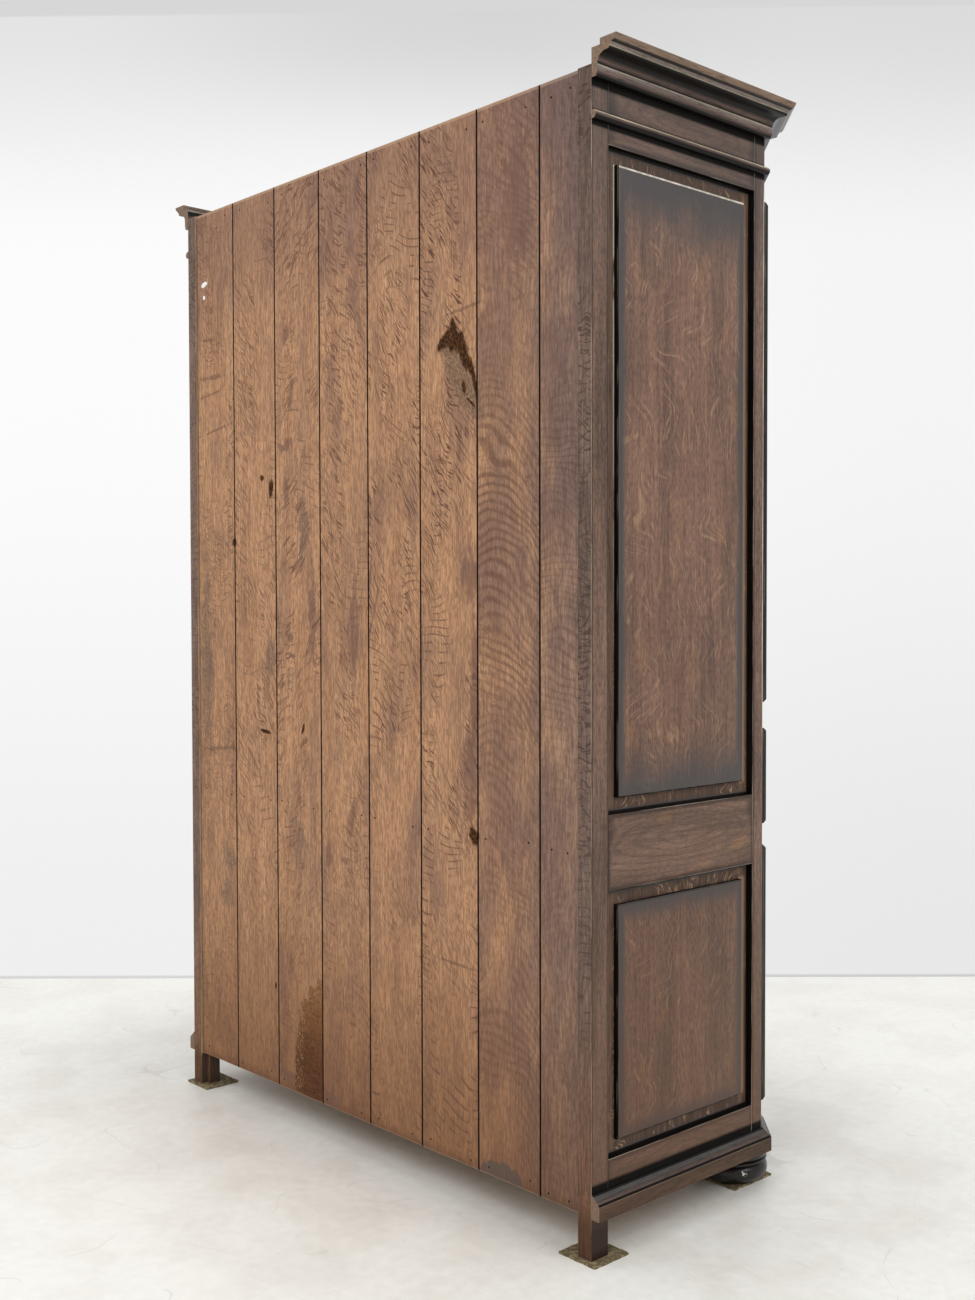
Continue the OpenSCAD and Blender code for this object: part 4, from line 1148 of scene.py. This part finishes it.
print("carcass dressed, planks so far:", planks_made)

# %% [markdown]
# ## The doors
#
# The doors hide on the far side of this view, and they are finished as carefully: stained frames, black
# edges towards the panels, bare wood inside. Hinges, locks, bolts and keys keep their exact shape, so they
# get no softened arrises, only their metal.

# %% Dress the doors
for side in ("left", "right"):
    dress(side + "_door_stiles", [frame_finish, door_recess_finish, inside_finish],
          [(LEFT, 1), (RIGHT, 1), (BACK, 2)])
    dress(side + "_door_rails", [rail_finish, door_recess_finish, inside_finish],
          [(UP, 1), (DOWN, 1), (BACK, 2)])
    for level in ("upper", "lower"):
        dress(f"{side}_door_{level}_panel", [door_recess_finish, margin_finish, inside_finish],
              [(FRONT, 1), (BACK, 2)], width=0.0006)
for piece in ("post_hinge_halves", "left_door_hinge_halves", "right_door_hinge_halves", "left_lock_case",
              "right_lock_case", "left_lock_bolt", "right_lock_bolt", "left_key", "right_key"):
    dress(piece, [steel_finish], width=0)
for piece in ("left_escutcheon", "right_escutcheon", "rod_sockets"):
    dress(piece, [brass_finish], width=0)
print("doors dressed, planks so far:", planks_made)

# %% [markdown]
# ## Fields of the panels
#
# The face of a raised field and the border round it look the same way, so a direction can't tell them apart.
# Their depth can: the field stands ten millimetres proud of the border.
#
# The black edges need the same care. Directions made every edge of a post or rail black, but only those
# that lie round a panel are. An edge whose plane passes beside both panels gets the stain of the face
# instead.

# %% Give the fields their own finish
NEARLY_FLAT = 0.94
PARTLY_TURNED = 0.3


def finish_field(name, out):
    """Gives the foremost faces of a panel the field's finish."""
    data = bpy.data.objects[name + "_dressed"].data
    data.materials.append(field_finish)
    front = max(vert.co.dot(out) for vert in data.vertices)
    for face in data.polygons:
        facing_out = face.normal.dot(out)
        seen_flat = facing_out > NEARLY_FLAT
        seen_top = facing_out > PARTLY_TURNED and face.normal.z > PARTLY_TURNED
        if (seen_flat or seen_top) and face.center.dot(out) > front - FIELD_RISE / 2:
            face.material_index = len(data.materials) - 1
    return data.name


def open_edges(name, panels):
    """Leaves the black to the edges that lie round a panel. Outer edges are stained like the face."""
    boxes = [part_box(panel) for panel in panels]
    changed = 0
    for face in bpy.data.objects[name + "_dressed"].data.polygons:
        axis = max(range(3), key=lambda i: abs(face.normal[i]))
        beside = any(low[axis] < face.center[axis] < high[axis] for low, high in boxes)
        if face.material_index == 1 and not beside:
            face.material_index = 0
            changed += 1
    return changed


AROUND_PANELS = {"": ("rear_post", "corner_post", "side_rails"), "door_": ("door_stiles", "door_rails")}
for side, out in (("left", LEFT), ("right", RIGHT)):
    for place, pieces in AROUND_PANELS.items():
        panels = [f"{side}_{place}{level}_panel" for level in ("upper", "lower")]
        for panel in panels:
            print("field:", finish_field(panel, FRONT if place else out))
        for piece in pieces:
            print("edges of the", side, piece, open_edges(f"{side}_{piece}", panels))

# %% [markdown]
# ## Felt pads
#
# Under each foot lies a square of felt, pressed flat by the weight and frayed at its edges. A grid is
# pushed about at its rim by a noise, and given its thickness with an extrusion. Blender's noise starts from
# the clock unless it is given a seed, so it gets one, and the pads fray the same way in every run.

# %% Felt pads
PAD_CELLS = 28
FRAY = 0.0022
FRAY_SEED = 7
COARSE_FRAY = 90
FINE_FRAY = 310


def felt_pad(mesh, low, high):
    """Adds one pad between two corners to a bmesh, with a wandering rim."""
    size = high - low
    centre = (low + high) / 2
    grid = bmesh.ops.create_grid(mesh, x_segments=PAD_CELLS, y_segments=PAD_CELLS, size=0.5)
    bmesh.ops.scale(mesh, vec=(size.x, size.y, 1), verts=grid["verts"])
    bmesh.ops.translate(mesh, vec=(centre.x, centre.y, high.z), verts=grid["verts"])
    faces = list(dict.fromkeys(face for vert in grid["verts"] for face in vert.link_faces))
    for vert in grid["verts"]:
        rim = max(abs(vert.co.x - centre.x) / size.x, abs(vert.co.y - centre.y) / size.y) * 2
        wander = noise.noise_vector(vert.co * COARSE_FRAY) + noise.noise_vector(vert.co * FINE_FRAY) * 0.6
        vert.co.x += (centre.x - vert.co.x) / size.x * abs(wander.x) * FRAY * 2 * rim ** 4
        vert.co.y += (centre.y - vert.co.y) / size.y * abs(wander.y) * FRAY * 2 * rim ** 4
        vert.co.z -= (0.0004 + abs(wander.z) * 0.0012) * rim ** 3
    made = bmesh.ops.extrude_face_region(mesh, geom=faces)
    lower = [item for item in made["geom"] if isinstance(item, bmesh.types.BMVert)]
    for vert in lower:
        vert.co.z = low.z


noise.seed_set(FRAY_SEED)
pads = bmesh.new()
plain_pads = merged_copy("felt_pads")
for faces in islands(plain_pads):
    felt_pad(pads, *corners([vert.co for face in faces for vert in face.verts]))
plain_pads.free()
bmesh.ops.recalc_face_normals(pads, faces=pads.faces)
pads_piece = into_scene("felt_pads_soft", pads, [felt_finish])
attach(pads_piece, "carcass")
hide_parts("felt_pads")
print("felt pads:", len(pads_piece.data.polygons), "faces")

# %% [markdown]
# ## Nails
#
# Cut nails hold each back board to the three rails behind it, and their heads are sunk a little and rusted
# dark. Two go into each board at each rail, and no two are driven at quite the same height, so each head is
# moved a little by a seeded dice.

# %% Nails in the back boards
NAIL_RADIUS = 0.0026
NAIL_HEIGHT = 0.0006
NAIL_INSET = 0.028
MIDDLE_RAIL = 0.7265
LOW_NAILS_UP = 0.018
TOP_NAILS_DOWN = 0.012
RUST = (0.022, 0.014, 0.011)
RUST_DARK = (0.012, 0.008, 0.006)


def nail_head(mesh, place):
    """Adds a low tapered disc to a bmesh, with its face towards the back."""
    head = bmesh.ops.create_cone(mesh, cap_ends=True, segments=10, radius1=NAIL_RADIUS,
                                 radius2=NAIL_RADIUS * 0.7, depth=NAIL_HEIGHT)
    turn = Matrix.Rotation(math.radians(-90), 3, "X")
    bmesh.ops.rotate(mesh, cent=(0, 0, 0), matrix=turn, verts=head["verts"])
    bmesh.ops.translate(mesh, vec=place, verts=head["verts"])


nails = bmesh.new()
dice = random.Random(7)
rails_low, rails_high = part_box("back_rails")
boards_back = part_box("back_board_2")[1].y
nail_rows = (rails_low.z + LOW_NAILS_UP, MIDDLE_RAIL, rails_high.z - TOP_NAILS_DOWN)
for number in range(1, len(BOARD_FIGURES) + 1):
    low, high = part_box(f"back_board_{number}")
    for row in nail_rows:
        for x in (low.x + NAIL_INSET, high.x - NAIL_INSET):
            wander = Vector((dice.uniform(-0.008, 0.008), 0, dice.uniform(-0.006, 0.006)))
            nail_head(nails, Vector((x, boards_back, row)) + wander)
nails_piece = into_scene("board_nails", nails, [aged_metal("rusted_nail", RUST, RUST_DARK, 0.7)])
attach(nails_piece, "carcass")
print("nails:", len(nails_piece.data.polygons), "faces")

# %% [markdown]
# ## Floor and wall
#
# The room is white. The wall stands square to the view, about a metre behind the wardrobe. Two planes are
# enough for them, because nothing else of the room is seen.

# %% Floor and wall
FLOOR_HALF = 12
WALL_DISTANCE = 4.50
WALL_HALF = 2.6
WALL_HALF_HEIGHT = 3.0


def plane(name, centre, half_width, half_depth, turn):
    """A flat piece of the stage about a centre, turned by a matrix."""
    mesh = bmesh.new()
    bmesh.ops.create_grid(mesh, x_segments=1, y_segments=1, size=1.0)
    bmesh.ops.scale(mesh, vec=(half_width, half_depth, 1), verts=mesh.verts)
    bmesh.ops.transform(mesh, matrix=Matrix.Translation(centre) @ turn.to_4x4(), verts=mesh.verts)
    made = into_scene(name, mesh)
    return made


floor = plane("floor", Vector((0, 0, 0)), FLOOR_HALF, FLOOR_HALF, Matrix.Identity(3))
level_forward = Vector((forward.x, forward.y, 0)).normalized()
level_right = Vector((right.x, right.y, 0)).normalized()
wall_centre = Vector((CAMERA_PLACE.x, CAMERA_PLACE.y, WALL_HALF_HEIGHT)) + level_forward * WALL_DISTANCE
wall_turn = Matrix((level_right, UP, -level_forward)).transposed()
wall = plane("wall", wall_centre, WALL_HALF, WALL_HALF_HEIGHT, wall_turn)
print("wall at", [round(x, 2) for x in wall_centre])

# %% [markdown]
# ## Floor paint
#
# The floor is nearly white while the underside of the wardrobe stays dark. A matt floor as bright as that
# would light the underside too much. So what the camera sees is a glow of its own brightness, and the light
# that falls on the wardrobe comes from matt paint. Near the wardrobe the floor is matt for the camera too,
# which keeps the shadow. Pale patches, grit and thin scratches break up the white.

# %% Paint the floor
FLOOR_WHITE = (0.925, 0.920, 0.87)
FLOOR_WARM = (0.84, 0.815, 0.755)
FLOOR_SCUFF = (0.55, 0.52, 0.46)
FLOOR_GLOW = (0.985, 0.98, 0.93)
WARDROBE_HALF = (0.70, 0.30, 0.0)


def seen_rays(finish):
    """1 for what the camera and reflections see, 0 for the light that falls on the wardrobe."""
    return most(*(finish.node("LightPath", output=kind) for kind in ("Is Camera Ray", "Is Glossy Ray")))


def away_from_wardrobe(finish, place):
    """Metres on the floor from the wardrobe's outline."""
    size = finish.node("VectorMath", {0: place}, operation="ABSOLUTE")
    beyond = finish.node("VectorMath", {0: size, 1: WARDROBE_HALF}, operation="SUBTRACT")
    outside = finish.node("VectorMath", {0: beyond, 1: (0.0, 0.0, 0.0)}, operation="MAXIMUM")
    return finish.node("VectorMath", {0: outside}, output="Value", operation="LENGTH")


floor_paint = Finish("floor_paint")
floor_place = in_object(floor_paint)
patches = rise(cloud(floor_place, (5.0, 5.0, 5.0), 6.0), 0.42, 0.62)
specks = cloud(floor_place, (42, 42, 42), 6.0)
floor_colour = paint(FLOOR_WHITE, FLOOR_WARM, patches * 0.7)
floor_colour = shade(floor_colour, 0.91 + specks * 0.18)
scuffs = cloud(bent(floor_place, (0.2, 0.2, 0.0), (2, 2, 2)), (3.2, 3.2, 3.2), 1.0)
scratch = rise(abs(scuffs - 0.5), 0.0030, 0.0012) * rise(cloud(floor_place, (7, 7, 7), 2.0), 0.50, 0.56)
grit = rise(cloud(floor_place, (120, 120, 120), 1.0), 0.74, 0.78)
floor_colour = paint(floor_colour, FLOOR_SCUFF, most(scratch * 0.28, grit * 0.5))
floor_matt = Wire(floor_paint, floor_paint.shader.outputs[0])
floor_paint.surface(Base_Color=floor_colour, Roughness=0.42 + specks * 0.1)
glow_colour = paint(FLOOR_GLOW, FLOOR_WARM, patches * 0.22)
glow_colour = shade(glow_colour, 0.94 + specks * 0.10 - scratch * 0.08)
floor_glow = floor_paint.node("Emission", {"Color": glow_colour, "Strength": 1.0})
lit = rise(away_from_wardrobe(floor_paint, floor_place), 0.10, 0.85) * seen_rays(floor_paint) * 0.72
floor_both = floor_paint.node("MixShader", {0: lit, 1: floor_matt, 2: floor_glow})
floor_paint.plug(floor_paint.tree.nodes["Material Output"].inputs["Surface"], floor_both)
floor.data.materials.append(floor_paint.material)
print("floor paint nodes:", len(floor_paint.tree.nodes))

# %% [markdown]
# ## Wall paint
#
# The wall loses light towards the floor, towards the ceiling and to the right, and a plain grey stands for
# the ceiling above its edge. The back of the wall is clear, so that it hides nothing from the other side.

# %% Paint the wall
WALL_WHITE = (0.88, 0.885, 0.89)
CEILING_GREY = 0.68
CEILING_EDGE = (3.005, 3.015)
TOWARDS_FLOOR = (1.9, 0.0)
TOWARDS_CEILING = (2.25, 3.05)
TO_THE_RIGHT = (-0.8, 1.5)


def along_wall(finish):
    """Metres to the right of the middle of the view, and the height."""
    place = in_object(finish)
    aside = finish.node("VectorMath", {0: place, 1: level_right}, output="Value", operation="DOT_PRODUCT")
    return aside - level_right.dot(CAMERA_PLACE), part(place, "Z")


wall_paint = Finish("wall_paint")
aside, height = along_wall(wall_paint)
grey = 0.97 - rise(height, *TOWARDS_FLOOR) * 0.105 - rise(height, *TOWARDS_CEILING) * 0.20
grey = grey - rise(aside, *TO_THE_RIGHT) * 0.06
grey = grey - rise(abs(aside + 0.15), 1.25, 0.1) * rise(height, 2.55, 2.95) * 0.085
ceiling = rise(height - aside * 0.010, *CEILING_EDGE)
grey = grey * (1 - ceiling) + ceiling * CEILING_GREY
grey = grey - rise(height, 0.012, 0.004) * 0.2
cool_grey = point(grey, grey, grey)
seen = seen_rays(wall_paint)
wall_glow = wall_paint.node("Emission", {"Color": cool_grey, "Strength": 1.0})
wall_matt = wall_paint.node("BsdfDiffuse", {"Color": WALL_WHITE})
wall_front = wall_paint.node("MixShader", {0: seen, 1: wall_matt, 2: wall_glow})
clear = wall_paint.node("BsdfTransparent")
from_behind = wall_paint.node("NewGeometry", output="Backfacing")
wall_both = wall_paint.node("MixShader", {0: from_behind, 1: wall_front, 2: clear})
wall_paint.plug(wall_paint.tree.nodes["Material Output"].inputs["Surface"], wall_both)
wall.data.materials.append(wall_paint.material)
print("wall paint nodes:", len(wall_paint.tree.nodes))

# %% [markdown]
# ## Light
#
# The shadows are faint, as in a room with pale walls. A plain white world gives soft light from all round,
# and three large lamps add a direction: one behind the wardrobe, one beside it and one over the bare floor.
# Where the camera sees the world itself, it sees a pale grey, and a second background is mixed in for that.

# %% Light
WORLD_STRENGTH = 0.55
SKY_WHITE = (0.90, 0.90, 0.90)
world = bpy.data.worlds.new("studio")
world.use_nodes = True
sky = world.node_tree.nodes
lighting = sky["Background"]
lighting.inputs["Color"].default_value = (1.0, 1.0, 1.0, 1.0)
lighting.inputs["Strength"].default_value = WORLD_STRENGTH
seen_sky = sky.new("ShaderNodeBackground")
seen_sky.inputs["Color"].default_value = (*SKY_WHITE, 1.0)
either = sky.new("ShaderNodeMixShader")
for start, end in ((sky.new("ShaderNodeLightPath").outputs["Is Camera Ray"], either.inputs[0]),
                   (lighting.outputs[0], either.inputs[1]), (seen_sky.outputs[0], either.inputs[2]),
                   (either.outputs[0], sky["World Output"].inputs["Surface"])):
    world.node_tree.links.new(start, end)
bpy.context.scene.world = world


def lamp(name, place, target, size, power):
    """A square lamp at a place, turned towards a target. Its size is in metres and its power in watts."""
    data = bpy.data.lights.new(name, "AREA")
    data.size = size
    data.energy = power
    made = bpy.data.objects.new(name, data)
    made.location = place
    made.rotation_euler = (Vector(target) - Vector(place)).to_track_quat("-Z", "Y").to_euler()
    bpy.context.scene.collection.objects.link(made)
    return made


lamp("key", place=(-1.6, 4.0, 4.2), target=(0, 0, 1.0), size=3.0, power=88)
lamp("side", place=(-4.6, -0.4, 4.2), target=(0, 0, 0.6), size=2.5, power=96)
lamp("floor", place=(2.8, 3.4, 4.0), target=(2.2, 1.2, 0.0), size=2.5, power=30)
bpy.context.scene.view_settings.view_transform = "Standard"
